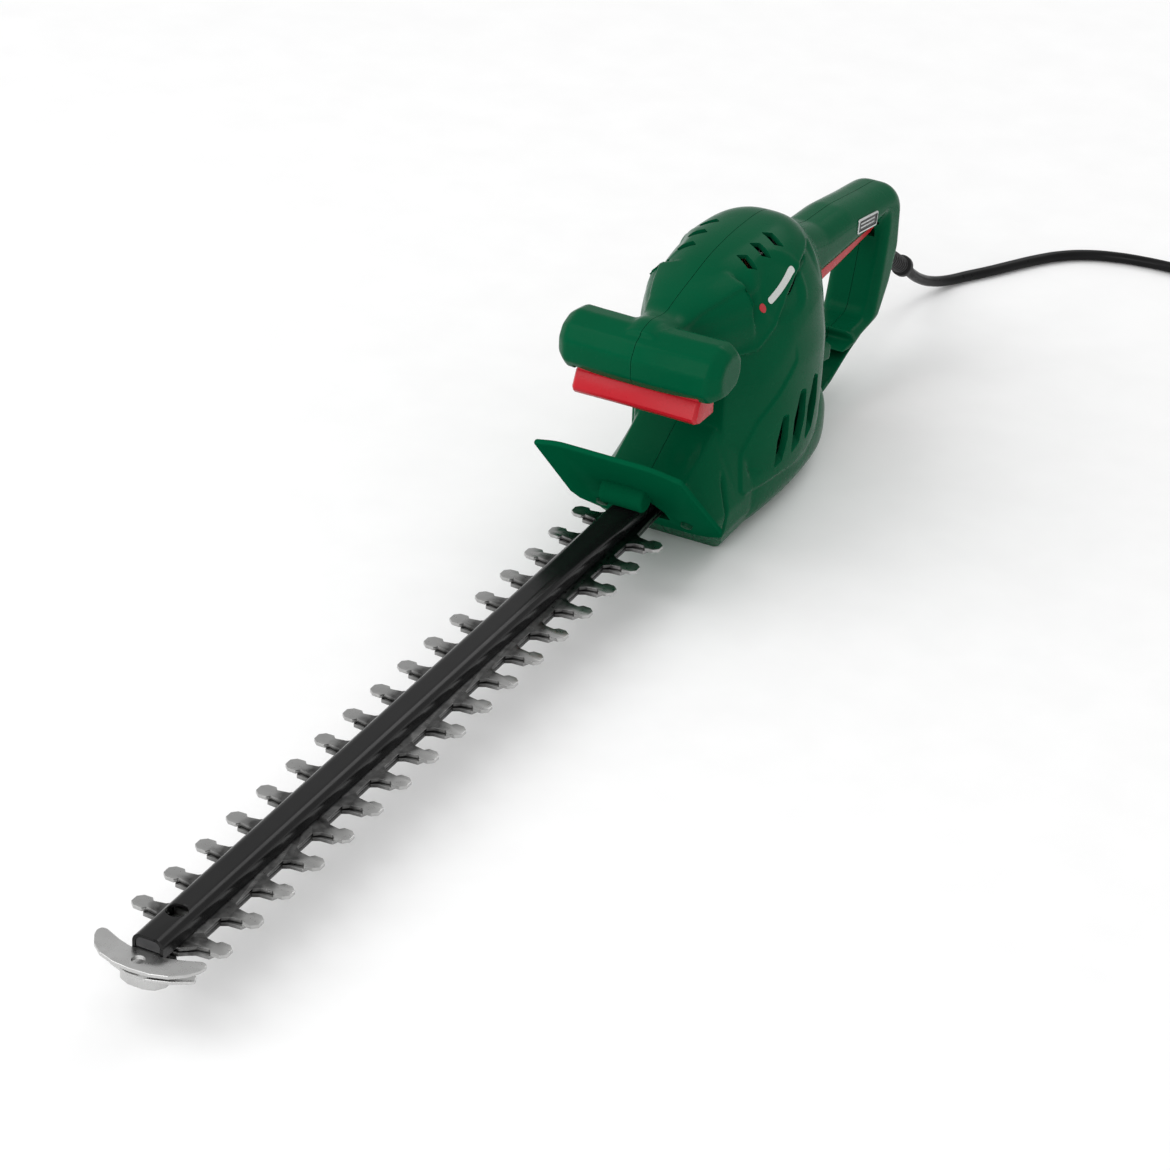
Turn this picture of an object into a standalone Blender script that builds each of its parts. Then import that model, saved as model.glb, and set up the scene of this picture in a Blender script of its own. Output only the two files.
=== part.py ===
"""Corded electric hedge trimmer, modelled as an assembly of separate named pieces.

Everything hangs from one empty, trimmer_datum. In its frame the blades lie in the plane z = 0,
forwards is -Y, the last left-hand tooth is at y = 0 and x = 0 is the seam between the two housing
halves. The datum is placed so that the world origin is the middle of the footprint, on the ground.
"""

import math

import bmesh
import bpy
import numpy as np
from mathutils import Matrix, Vector

MM = 0.001

# ---- Assembly clearances -------------------------------------------------------------------
GAP = 0.3 * MM  # between faces that touch on the real tool
RUNNING = 0.3 * MM  # around anything that slides or turns

# ---- Cutter bar ----------------------------------------------------------------------------
TOOTH_PITCH = 26.5 * MM
TEETH_PER_SIDE = 17
TOOTH_REACH = 29.1 * MM  # from the middle of the bar to a blade tooth's tip
VALLEY_HALF = 12.0 * MM  # half the width of a blade between its teeth
BLADE_THICK = 2.0 * MM
BLADE_GAP = 0.3 * MM  # oil film and assembly gap between the two blades
CRANK_THROW = 5.0 * MM  # each blade swings this far each side of its middle
REST_OFFSET = 0.4 * MM  # where the crank has stopped: upper blade a little back, lower blade a little forwards
BAR_WIDTH = 16.0 * MM
BAR_WALL = 1.5 * MM
BAR_TOP = 12.0 * MM  # top of the bar above the blade plane
BAR_OVERHANG = 34.0 * MM  # bar in front of the first tooth
TIP_OVERHANG = 15.0 * MM  # tip guard in front of the bar
TIP_HALF = 28.0 * MM
RAIL_THICK = 5.0 * MM
STRIP_THICK = 1.8 * MM
TIP_THICK = 2.0 * MM
BOLT_R = 2.0 * MM
BOLT_HEAD_R = 3.4 * MM
BOLT_HEAD = 2.3 * MM
NUT_R = 3.9 * MM
NUT_THICK = 3.0 * MM
BAR_BOLTS = 4
BAR_HOLE_R = 5.0 * MM

# ---- Housing -------------------------------------------------------------------------------
BELLY_Z = -32.0 * MM  # the flat belly that the tool stands on
WALL = 3.0 * MM
BODY_HALF = 45.0 * MM
DOME_TOP = 124.5 * MM
BODY_FRONT = 62.0 * MM
BODY_REAR = 204.0 * MM
NOSE_TOP_HALF = 22.0 * MM
NOSE_LOW_HALF = 39.0 * MM
NOSE_TOP = 18.0 * MM
SEAM_HALF = 0.15 * MM

# ---- Front handle --------------------------------------------------------------------------
FRONT_HANDLE_HALF = 47.0 * MM
SWITCH_BAR_HALF = 36.0 * MM
SWITCH_TRAVEL = 2.0 * MM

# ---- Rear handle ---------------------------------------------------------------------------
HANDLE_HALF = 16.0 * MM
HANDLE_ROUND = 10.0 * MM
HANDLE_REAR = 325.0 * MM
GRIP_UNDER = 58.0 * MM
TRIGGER_HALF = 8.0 * MM
TRIGGER_PIVOT = (301.0 * MM, GRIP_UNDER + 4.8 * MM)
TRIGGER_ANGLE = 3.0

# ---- Hand guard ----------------------------------------------------------------------------
GUARD_HALF = 44.0 * MM
GUARD_THICK = 3.0 * MM
GUARD_FOOT = (32.0 * MM, -10.0 * MM)  # y, z of the lower corners of its front face
GUARD_LEAN = math.radians(44.2)  # tilt of the plate forwards from upright
GUARD_HEIGHT = 80.4 * MM
GUARD_SCREW = {1: (25.0 * MM, 8.0 * MM), -1: (-25.0 * MM, 8.0 * MM)}  # across, up the guard's slope

# ---- Drive ---------------------------------------------------------------------------------
GEAR_MODULE = 1.25 * MM
GEAR_TEETH = 46
PINION_TEETH = 10
GEAR_Y = 85.0 * MM
GEAR_LOW = 16.0 * MM
GEAR_THICK = 7.0 * MM
MESH_PLAY = 0.15 * MM
ECCENTRIC_R = 7.5 * MM
JOURNAL_R = 6.0 * MM
SPINDLE_R = 4.0 * MM
SHAFT_R = 3.0 * MM
STATOR_R = 36.0 * MM
ARMATURE_R = 20.0 * MM
CORE_LOW = 52.0 * MM
CORE_HIGH = 90.0 * MM

# ---- Cord ----------------------------------------------------------------------------------
CORD_D = 6.5 * MM
BOOT_EXIT = (322.0 * MM, 33.0 * MM)
BOOT_DROP = math.radians(32.5)
BOOT_LENGTH = 58.0 * MM
PLUG_LENGTH = 62.0 * MM
PLUG_HALF_HEIGHT = 11.0 * MM

# ---- Values that follow from the ones above -------------------------------------------------
FIRST_TOOTH = -(TEETH_PER_SIDE - 1) * TOOTH_PITCH
BAR_FRONT = FIRST_TOOTH - BAR_OVERHANG
TIP_FRONT = BAR_FRONT - TIP_OVERHANG
DATUM = Vector((0.0, -(TIP_FRONT + HANDLE_REAR) / 2, -BELLY_Z))
BLADE_TOP = BLADE_GAP / 2 + BLADE_THICK
CHANNEL_HALF = BAR_WIDTH / 2 - BAR_WALL
RAIL_HALF = CHANNEL_HALF - GAP
RAIL_LOW = BLADE_TOP + GAP
RAIL_TOP = RAIL_LOW + RAIL_THICK
STRIP_TOP = -BLADE_TOP - GAP
STRIP_LOW = STRIP_TOP - STRIP_THICK
BASE_TOP = STRIP_LOW - GAP
BASE_THICK = 3.0 * MM
TIP_BOLT_Y = BAR_FRONT + 24.0 * MM
TONGUE_REAR = TIP_BOLT_Y + 6.5 * MM
PITCH_R_GEAR = GEAR_MODULE * GEAR_TEETH / 2
PITCH_R_PINION = GEAR_MODULE * PINION_TEETH / 2
MOTOR_Y = GEAR_Y + PITCH_R_GEAR + PITCH_R_PINION + MESH_PLAY
CRANK_ANGLE = math.asin(REST_OFFSET / CRANK_THROW)
BAR_BOLT_YS = [TIP_BOLT_Y * (BAR_BOLTS - i) / BAR_BOLTS - 4.0 * MM * i for i in range(1, BAR_BOLTS)]
MOUNT_BOLT_YS = (44.0 * MM, 54.0 * MM)
MOUNT_BOLT_R = 2.5 * MM
YOKE_HALF_Y = ECCENTRIC_R + 2 * CRANK_THROW + 0.8 * MM
YOKE_HALF_X = ECCENTRIC_R + CRANK_THROW + 0.7 * MM
YOKE_FRAME = 5.0 * MM
PLATE_LOW = GEAR_LOW + GEAR_THICK + 4.3 * MM
PLATE_THICK = 7.0 * MM
PLATE_TOP = PLATE_LOW + PLATE_THICK
GUARD_UP = Vector((0.0, -math.sin(GUARD_LEAN), math.cos(GUARD_LEAN)))
GUARD_OUT = Vector((0.0, -math.cos(GUARD_LEAN), -math.sin(GUARD_LEAN)))

# Half width, top and roundness of the body at stations along y, in millimetres.
BODY_STATIONS = (
    (62, 26.0, 116.0),
    (70, 30.0, 118.0),
    (85, 37.0, 121.5),
    (100, 42.0, 123.5),
    (115, 44.5, 124.5),
    (132, 45.0, 124.5),
    (148, 43.0, 123.5),
    (160, 38.5, 120.5),
    (171, 33.0, 114.5),
    (182, 28.0, 107.0),
    (192, 23.0, 98.0),
    (199, 17.0, 86.0),
    (203, 9.0, 70.0),
)

# Housing screws: y, z and half-length of the boss that takes each.
SCREW_PLACES = ((78, 103), (176, 88), (190, -14), (68, -19), (252, 73), (311, 56))

PARTS = None
CUTTERS = None
MATERIALS = {}
FINISHES = {
    "green_plastic": ((0.0, 0.075, 0.028), 0.42, 0.0),
    "red_plastic": ((0.52, 0.013, 0.025), 0.35, 0.0),
    "black_paint": ((0.014, 0.014, 0.014), 0.4, 0.3),
    "ground_steel": ((0.42, 0.42, 0.42), 0.32, 1.0),
    "zinc_steel": ((0.55, 0.55, 0.53), 0.38, 1.0),
    "core_steel": ((0.18, 0.18, 0.19), 0.5, 0.9),
    "copper": ((0.6, 0.25, 0.1), 0.35, 1.0),
    "carbon": ((0.03, 0.03, 0.03), 0.7, 0.0),
    "cast_aluminium": ((0.5, 0.5, 0.5), 0.5, 1.0),
    "black_plastic": ((0.02, 0.02, 0.02), 0.5, 0.0),
    "cream_plastic": ((0.6, 0.56, 0.42), 0.5, 0.0),
    "black_rubber": ((0.015, 0.015, 0.015), 0.6, 0.0),
    "brass": ((0.6, 0.45, 0.18), 0.3, 1.0),
}


def start_scene():
    """Empty the scene and make the two collections: the trimmer's pieces, and the cutters."""
    global PARTS, CUTTERS
    for obj in list(bpy.data.objects):
        bpy.data.objects.remove(obj, do_unlink=True)
    PARTS = bpy.data.collections.new("hedge_trimmer")
    CUTTERS = bpy.data.collections.new("cutters")
    CUTTERS.hide_render = True
    for collection in (PARTS, CUTTERS):
        bpy.context.scene.collection.children.link(collection)


def empty(name, place, parent=None):
    """An empty that pieces hang from, at a place in its parent's frame."""
    obj = bpy.data.objects.new(name, None)
    obj.empty_display_size = 0.02
    obj.location = place
    obj.parent = parent
    PARTS.objects.link(obj)
    return obj


def material(finish):
    """The Principled material of a named finish, made once."""
    if finish not in MATERIALS:
        color, roughness, metallic = FINISHES[finish]
        made = bpy.data.materials.new(finish)
        made.use_nodes = True
        shader = made.node_tree.nodes["Principled BSDF"]
        shader.inputs["Base Color"].default_value = (*color, 1.0)
        shader.inputs["Roughness"].default_value = roughness
        shader.inputs["Metallic"].default_value = metallic
        MATERIALS[finish] = made
    return MATERIALS[finish]


def solid(name, verts, faces):
    """A loose mesh object in the scene, in flat triangles that point outwards."""
    mesh = bpy.data.meshes.new(name)
    mesh.from_pydata([tuple(v) for v in verts], [], faces)
    form = bmesh.new()
    form.from_mesh(mesh)
    bmesh.ops.recalc_face_normals(form, faces=form.faces)
    bmesh.ops.triangulate(form, faces=form.faces)
    form.to_mesh(mesh)
    form.free()
    obj = bpy.data.objects.new(name, mesh)
    CUTTERS.objects.link(obj)
    obj.display_type = "WIRE"
    obj.hide_render = True
    return obj


def as_mesh(obj, weld=0.0):
    """Replace an object by the mesh that its modifiers or its curve make, and return the new one."""
    bpy.context.view_layer.update()
    graph = bpy.context.evaluated_depsgraph_get()
    mesh = bpy.data.meshes.new_from_object(obj.evaluated_get(graph))
    if weld:
        form = bmesh.new()
        form.from_mesh(mesh)
        bmesh.ops.remove_doubles(form, verts=form.verts, dist=weld)
        bmesh.ops.recalc_face_normals(form, faces=form.faces)
        form.to_mesh(mesh)
        form.free()
    name, matrix = obj.name, obj.matrix_world.copy()
    bpy.data.objects.remove(obj, do_unlink=True)
    made = bpy.data.objects.new(name, mesh)
    made.matrix_world = matrix
    made.display_type = "WIRE"
    made.hide_render = True
    CUTTERS.objects.link(made)
    return made


def combined(base, others, operation):
    """Join the other solids to the base, or cut them from it, with exact Booleans."""
    for other in others:
        modifier = base.modifiers.new(operation.lower(), "BOOLEAN")
        modifier.operation = operation
        modifier.solver = "EXACT"
        modifier.use_hole_tolerant = True
        modifier.object = other
        base = as_mesh(base, weld=1e-6)
        bpy.data.objects.remove(other, do_unlink=True)
    return base


def cut(base, *cutters):
    """The base with each cutter taken away."""
    return combined(base, cutters, "DIFFERENCE")


def joined(base, *others):
    """The base and the others as one solid."""
    return combined(base, others, "UNION")


def rounded(obj, width, segments=2, angle=30.0):
    """The solid with its sharp edges rounded."""
    modifier = obj.modifiers.new("round", "BEVEL")
    modifier.width = width
    modifier.segments = segments
    modifier.limit_method = "ANGLE"
    modifier.angle_limit = math.radians(angle)
    modifier.use_clamp_overlap = True
    return as_mesh(obj)


def piece(obj, name, finish, parent):
    """Make a solid one of the trimmer's pieces, hung from its parent empty."""
    CUTTERS.objects.unlink(obj)
    PARTS.objects.link(obj)
    obj.name = name
    obj.data.name = name
    obj.display_type = "TEXTURED"
    obj.hide_render = False
    obj.data.materials.clear()
    obj.data.materials.append(material(finish))
    obj.data.shade_smooth()
    obj.data.set_sharp_from_angle(angle=math.radians(35))
    obj.parent = parent
    return obj


def circle(radius, centre=(0.0, 0.0), count=24, start=0.0):
    """Points round a circle."""
    turn = start + np.arange(count) * 2 * math.pi / count
    return [(centre[0] + radius * math.cos(t), centre[1] + radius * math.sin(t)) for t in turn]


def slot(y_low, y_high, radius, steps=6):
    """A slot along y on the middle line, with round ends at the given limits."""
    turn = [math.pi * i / steps for i in range(steps + 1)]
    rear = [(radius * math.cos(t), y_high - radius + radius * math.sin(t)) for t in turn]
    front = [(-radius * math.cos(t), y_low + radius - radius * math.sin(t)) for t in turn]
    return rear + front


def rounded_outline(points, radii, steps=3):
    """A closed outline with each corner replaced by an arc of its own radius."""
    if isinstance(radii, float):
        radii = [radii] * len(points)
    found = []
    for i, radius in enumerate(radii):
        corner = Vector(points[i])
        before = (Vector(points[i - 1]) - corner).normalized()
        after = (Vector(points[(i + 1) % len(points)]) - corner).normalized()
        half = before.angle(after) / 2
        if radius <= 0 or half > math.radians(88):
            found.append(tuple(corner))
            continue
        reach = radius / math.tan(half)
        centre = corner + (before + after).normalized() * (radius / math.sin(half))
        a = corner + before * reach - centre
        b = corner + after * reach - centre
        sweep = a.angle_signed(b)
        for k in range(steps + 1):
            found.append(tuple(centre + Matrix.Rotation(-sweep * k / steps, 2) @ a))
    return found


def plate(name, outline, low, high, holes=(), axis="Z"):
    """A flat outline with holes, as thick as low to high. Axis X takes (y, z) points, axis Y (x, z)."""
    curve = bpy.data.curves.new(name, "CURVE")
    curve.dimensions = "2D"
    curve.fill_mode = "BOTH"
    curve.extrude = (high - low) / 2
    for ring in (outline, *holes):
        spline = curve.splines.new("POLY")
        spline.points.add(len(ring) - 1)
        for point, (u, v) in zip(spline.points, ring):
            point.co = (u, v, 0.0, 1.0)
        spline.use_cyclic_u = True
    obj = bpy.data.objects.new(name, curve)
    CUTTERS.objects.link(obj)
    obj = as_mesh(obj, weld=1e-6)
    turn = {
        "Z": Matrix.Identity(4),
        "X": Matrix(((0, 0, 1, 0), (1, 0, 0, 0), (0, 1, 0, 0), (0, 0, 0, 1))),
        "Y": Matrix(((1, 0, 0, 0), (0, 0, -1, 0), (0, 1, 0, 0), (0, 0, 0, 1))),
    }[axis]
    middle = (low + high) / 2 * (-1 if axis == "Y" else 1)
    obj.data.transform(turn @ Matrix.Translation((0, 0, middle)))
    return obj


def box(name, low, high):
    """A box between two corners."""
    bpy.ops.mesh.primitive_cube_add(size=1.0)
    obj = bpy.context.object
    for collection in list(obj.users_collection):
        collection.objects.unlink(obj)
    CUTTERS.objects.link(obj)
    obj.name = name
    obj.display_type = "WIRE"
    obj.hide_render = True
    size = Vector(high) - Vector(low)
    centre = (Vector(high) + Vector(low)) / 2
    obj.data.transform(Matrix.Translation(centre) @ Matrix.Diagonal((*size, 1.0)))
    return obj


def turned(name, profile, centre=(0, 0, 0), along=(0, 0, 1), steps=24):
    """A solid of revolution. The profile is (radius, height) pairs from the top down its outside."""
    mesh = bpy.data.meshes.new(name)
    points = [(radius, 0.0, height) for radius, height in profile]
    mesh.from_pydata(points, [(i, i + 1) for i in range(len(points) - 1)], [])
    obj = bpy.data.objects.new(name, mesh)
    CUTTERS.objects.link(obj)
    screw = obj.modifiers.new("turn", "SCREW")
    screw.axis = "Z"
    screw.steps = steps
    screw.render_steps = steps
    screw.use_merge_vertices = True
    screw.merge_threshold = 1e-6
    screw.use_normal_calculate = True
    obj = as_mesh(obj, weld=1e-7)
    aim = Vector((0, 0, 1)).rotation_difference(Vector(along)).to_matrix().to_4x4()
    obj.data.transform(Matrix.Translation(Vector(centre)) @ aim)
    return obj


def tube_profile(outer, bore, low, high):
    """The closed profile of a plain ring."""
    return [(outer, high), (outer, low), (bore, low), (bore, high), (outer, high)]


def loft(name, rings):
    """A closed solid through rings that have the same number of points, with flat ends."""
    count = len(rings[0])
    verts = [point for ring in rings for point in ring]
    faces = [tuple(range(count))]
    for r in range(len(rings) - 1):
        for i in range(count):
            j = (i + 1) % count
            faces.append((r * count + i, r * count + j, (r + 1) * count + j, (r + 1) * count + i))
    faces.append(tuple(range((len(rings) - 1) * count, len(rings) * count)))
    return solid(name, verts, faces)


def egg_ring(y, half, low, high, middle, n_top, n_low, floor, count=30):
    """A closed section across the tool: a super-ellipse with its own roundness above and below."""
    ring = []
    for i in range(count):
        turn = 2 * math.pi * (i + 0.5) / count
        across, up = math.cos(turn), math.sin(turn)
        power = n_top if up > 0 else n_low
        x = half * math.copysign(abs(across) ** (2 / power), across)
        reach = high - middle if up > 0 else middle - low
        z = middle + reach * math.copysign(abs(up) ** (2 / power), up)
        ring.append((x, y, max(z, floor)))
    return ring


def body_form(inset):
    """The motor body, from the steep front under the front handle to its rounded back."""
    rings = []
    stations = [(y * MM, half * MM, top * MM) for y, half, top in BODY_STATIONS]
    scale = BODY_HALF / (45.0 * MM)
    raise_top = DOME_TOP - 124.5 * MM
    for y, half, top in stations:
        if inset and (y < BODY_FRONT + 1 * MM or half * scale < inset + 8 * MM):
            y = y + inset if y < BODY_FRONT + 1 * MM else y
        if inset and half * scale < 12 * MM:
            continue
        low = BELLY_Z - 2.5 * MM + inset
        middle = 46.0 * MM
        rings.append(
            egg_ring(
                y,
                half * scale - inset,
                low,
                top + raise_top - inset,
                middle if top > 90 * MM else 38.0 * MM,
                2.6,
                3.6,
                BELLY_Z + inset,
            )
        )
    return loft("body", rings)


def foot_form(inset):
    """The wide lower part of the body, behind and beside the gear case."""
    rows = ((58, 34), (66, 36.5), (90, 40.5), (130, 41.5), (165, 38.5), (185, 33), (197, 26), (203, 18))
    rings = []
    for y, half in rows:
        if inset:
            y = min(max(y, 58 + inset / MM), 204 - inset / MM)
        rings.append(
            egg_ring(
                y * MM,
                (half * MM - inset) * BODY_HALF / (45.0 * MM),
                BELLY_Z - 1.5 * MM + inset,
                14.0 * MM - inset,
                -9.0 * MM,
                3.0,
                2.7,
                BELLY_Z + inset,
                24,
            )
        )
    return loft("foot", rings)


def nose_form(inset):
    """The gear case: a low roof above the bar, sloping sides, running out to the guard."""
    rows = ((-6, NOSE_TOP), (30, NOSE_TOP + 0.5 * MM), (62, 37 * MM), (76, 45 * MM))
    rings = []
    for y, top in rows:
        y = y * MM
        top = top - inset
        upper = NOSE_TOP_HALF - inset
        lower = NOSE_LOW_HALF - inset
        low = BELLY_Z + inset
        wide = -14.0 * MM
        half = [
            (lower - 12 * MM, low),
            (lower - 8 * MM, low + 2.5 * MM),
            (lower - 3.5 * MM, low + 9 * MM),
            (lower, wide),
            (lower, wide + 11 * MM),
            (upper + 2.0 * MM, top - 4.0 * MM),
            (upper - 1.0 * MM, top - 0.8 * MM),
            (0.0, top + 0.4 * MM),
        ]
        right = [(x, y, z) for x, z in half]
        left = [(-x, y, z) for x, z in reversed(half[:-1])]
        rings.append(right + left)
    return loft("nose", rings)


def guard_plane_cutter(offset):
    """A block that fills all the space in front of the guard's plane moved back by the offset."""
    foot = Vector((0.0, *GUARD_FOOT)) - GUARD_OUT * offset
    across = Vector((0.2, 0, 0))
    verts = []
    for deep in (0.0, 0.2):
        for side in (-1, 1):
            for high in (-0.1, 0.2):
                verts.append(foot + across * side + GUARD_UP * high + GUARD_OUT * deep)
    faces = [(0, 1, 3, 2), (4, 6, 7, 5), (0, 2, 6, 4), (1, 5, 7, 3), (0, 4, 5, 1), (2, 3, 7, 6)]
    return solid("guard_plane", verts, faces)


def neck_form(inset):
    """The arm that carries the front handle, widening back into the dome."""
    rows = ((8, 13, 110), (20, 13, 112), (36, 15, 109.5), (48, 19.5, 112.5), (62, 26, 116), (80, 33, 119))
    rings = []
    for y, half, top in rows:
        low = 80.0 - 14.0 * max(0.0, (y - 40) / 40)
        rings.append(
            egg_ring(
                y * MM,
                half * MM - inset,
                low * MM + inset,
                top * MM - inset,
                96 * MM,
                2.8,
                3.0,
                -1.0,
                24,
            )
        )
    return loft("neck", rings)


def front_handle_form(inset):
    """The crossbar: a rounded six-sided grip that bows a little forwards in its middle."""
    section = ((-1.5, 87), (-2, 98), (3, 106), (14, 110), (25, 108.5), (32, 101), (32.5, 90), (27, 82), (14, 79.5), (3.5, 81))
    middle = Vector((15.5 * MM, 95.0 * MM))
    rings = []
    last = 1.0 - inset / FRONT_HANDLE_HALF
    for share in (-1.0, -0.97, -0.9, -0.6, -0.3, 0.0, 0.3, 0.6, 0.9, 0.97, 1.0):
        bow = 5.0 * MM * abs(share) ** 1.6
        shrink = {1.0: 0.64, 0.97: 0.85}.get(abs(share), 1.0)
        ring = []
        for y, z in section:
            offset = Vector((y * MM, z * MM)) - middle
            offset = offset * shrink * (1.0 - inset / offset.length)
            ring.append(
                (
                    share * last * FRONT_HANDLE_HALF,
                    middle.x + offset.x + bow,
                    middle.y + offset.y - bow * 0.4,
                )
            )
        rings.append(ring)
    return loft("front_handle", rings)


def inset_corners(points, depth):
    """The corners of a counter-clockwise outline after each of its sides moves inwards by a depth."""
    found = []
    for i, corner in enumerate(points):
        corner = Vector(corner)
        before = (corner - Vector(points[i - 1])).normalized()
        after = (Vector(points[(i + 1) % len(points)]) - corner).normalized()
        normals = Vector((-before.y, before.x)), Vector((-after.y, after.x))
        bisector = (normals[0] + normals[1]).normalized()
        found.append(corner + bisector * (depth / bisector.dot(normals[0])))
    return found


def rear_handle_form():
    """The D handle before its windows are cut: its outline, drawn in towards both sides."""
    rings = []
    points, radii = rear_handle_corners()
    points = points[::-1]
    radii = radii[::-1]
    for t in (-0.96, -0.75, -0.4, 0.0, 0.0, 0.4, 0.75, 0.96):
        side = -1 if len(rings) < 4 else 1
        depth = 1.2 * HANDLE_ROUND * (1 - math.sqrt(1 - t * t))
        x = side * (HANDLE_HALF - HANDLE_ROUND * (1 - abs(t) / 0.96))
        moved = inset_corners(points, depth)
        turn = [1 if convex(points, i) else -1 for i in range(len(points))]
        sizes = [max(r - depth * k, 1.5 * MM) if r else 0.0 for r, k in zip(radii, turn)]
        rings.append([(x, y, z) for y, z in rounded_outline(moved, sizes)])
    return loft("handle", rings)


def convex(points, i):
    """Whether a counter-clockwise outline bulges outwards at its corner i."""
    before = Vector(points[i]) - Vector(points[i - 1])
    after = Vector(points[(i + 1) % len(points)]) - Vector(points[i])
    return before.cross(after) > 0


def rear_handle_corners():
    """Corners of the D handle's outside in the seam plane, clockwise, and how round each is."""
    rear = HANDLE_REAR / MM
    points = [
        (150, 60),
        (150, 98),
        (190, 98.5),
        (214, 92.5),
        (246, 90.5),
        (284, 84.5),
        (rear - 11, 80.5),
        (rear, 62),
        (rear, 40),
        (rear - 9, 18),
        (rear - 24, -3),
        (rear - 48, -5),
        (rear - 65, -10),
        (rear - 90, -19),
        (rear - 122, -26),
        (170, -27),
        (160, 20),
    ]
    radii = [0, 0, 12, 20, 60, 60, 13, 16, 20, 20, 12, 15, 30, 40, 20, 0, 0]
    return [(y * MM, z * MM) for y, z in points], [r * MM for r in radii]


def handle_windows():
    """The finger window of the D handle and the smaller opening under its lower bar."""
    under = GRIP_UNDER / MM
    rear = HANDLE_REAR / MM
    big = [(206, 22), (206, under), (rear - 25, under), (rear - 31, 34), (rear - 39, 8), (rear - 60, 7)]
    small = [(208, -13), (208, 9), (rear - 70, -0.5), (rear - 52, 0.5), (rear - 60, -1.5), (rear - 90, -9.5)]
    return (
        rounded_outline([(y * MM, z * MM) for y, z in big], [6 * MM, 4 * MM, 6 * MM, 14 * MM, 8 * MM, 10 * MM], 3),
        rounded_outline([(y * MM, z * MM) for y, z in small], 0.0),
    )


def window_cutters():
    """Solids that cut the two openings of the D handle, the larger one flared at both sides."""
    big, small = handle_windows()
    centre = Vector(((big[0][0] + big[-1][0]) / 2 + 14 * MM, 32 * MM))
    rings = []
    flare = HANDLE_ROUND * 0.45
    for x, grow in ((-1.1, 1.25), (-1.0, 1.0), (-0.72, 0.0), (0.72, 0.0), (1.0, 1.0), (1.1, 1.25)):
        ring = []
        for y, z in big:
            away = Vector((y, z)) - centre
            ring.append((x * HANDLE_HALF, centre.x + away.x * (1 + grow * flare / 0.047), centre.y + away.y * (1 + grow * flare / 0.026)))
        rings.append(ring)
    return loft("window", rings), plate("gusset", small, -2 * HANDLE_HALF, 2 * HANDLE_HALF, (), "X")


def handle_channels():
    """The hollows of the rear handle: along the grip, and down the rear post to the cord."""
    under = GRIP_UNDER + WALL
    half = HANDLE_HALF - WALL
    rear = HANDLE_REAR - WALL
    grip = [
        (170 * MM, under),
        (170 * MM, 92 * MM),
        (214 * MM, 89 * MM),
        (246 * MM, 87 * MM),
        (284 * MM, 81 * MM),
        (rear - 11 * MM, 76 * MM),
        (rear - 2 * MM, 62 * MM),
        (rear - 0.5 * MM, 40 * MM),
        (rear - 8 * MM, 22 * MM),
        (rear - 15 * MM, 22 * MM),
        (rear - 19 * MM, 40 * MM),
        (rear - 14 * MM, under),
    ]
    return plate("channel", rounded_outline(grip, 2 * MM, 2), -half + 2 * MM, half - 2 * MM, axis="X")


def body_shelves():
    """Webs across the motor cavity that hold the gear plate, stator, brush gear and top bearing."""
    shelves = []
    rows = (
        (PLATE_LOW - 3.3 * MM, PLATE_LOW - GAP, None),
        (55 * MM, 58 * MM, STATOR_R + GAP),
        (84 * MM, 87 * MM, STATOR_R + GAP),
        (93.6 * MM, 96 * MM, 14 * MM),
        (112 * MM, 116 * MM, 9 * MM + GAP),
    )
    for low, high, bore in rows:
        outline = [(-60 * MM, 60 * MM), (60 * MM, 60 * MM), (60 * MM, 230 * MM), (-60 * MM, 230 * MM)]
        if bore is None:
            hole = rounded_outline(
                [(-25 * MM, 66 * MM), (25 * MM, 66 * MM), (25 * MM, 142 * MM), (-25 * MM, 142 * MM)], 8 * MM
            )
        else:
            hole = circle(bore, (0.0, MOTOR_Y), 28 if bore > 20 * MM else 18)
        shelves.append(plate("shelf", outline, low, high, [hole]))
    return shelves


def housing_halves(datum):
    """The two clamshell halves: one hollow form, cut at the seam."""
    handle = cut(rear_handle_form(), *window_cutters())
    nose = cut(nose_form(0.0), guard_plane_cutter(GUARD_THICK + GAP))
    shell = joined(body_form(0.0), foot_form(0.0), nose, neck_form(0.0), front_handle_form(0.0), handle)
    nose_hollow = cut(nose_form(WALL), guard_plane_cutter(GUARD_THICK + GAP + WALL))
    hollow = joined(
        body_form(WALL), foot_form(WALL), nose_hollow, neck_form(WALL), front_handle_form(WALL), handle_channels()
    )
    posts = [
        turned("post", [(0, 0.06), (4.2 * MM, 0.06), (4.2 * MM, -0.06), (0, -0.06)], (0, y * MM, z * MM), (1, 0, 0), 10)
        for y, z in SCREW_PLACES
    ]
    base_rest = box("rest", (-0.05, 24 * MM, BASE_TOP - BASE_THICK - GAP - 3 * MM), (0.05, 100 * MM, BASE_TOP - BASE_THICK - GAP))
    base_void = box(
        "void", (-9 * MM, 30 * MM, BASE_TOP - BASE_THICK - 8 * MM), (9 * MM, 92 * MM, BASE_TOP - BASE_THICK + 5 * MM)
    )
    hollow = cut(hollow, *posts, cut(base_rest, base_void), *body_shelves())
    shell = cut(shell, hollow, *housing_openings())
    halves = []
    for name, side in (("housing_left", 1), ("housing_right", -1)):
        keep = box("keep", (min(side, 0.0), -1, -1), (max(side, 0.0), 1, 1))
        keep.data.transform(Matrix.Translation((side * SEAM_HALF, 0, 0)))
        half = shell.copy()
        half.data = shell.data.copy()
        CUTTERS.objects.link(half)
        half = combined(half, [keep], "INTERSECT")
        half = cut(half, *[screw_cutter(y, z, side) for y, z in SCREW_PLACES])
        halves.append(piece(half, name, "green_plastic", datum))
    bpy.data.objects.remove(shell, do_unlink=True)
    return halves


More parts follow.
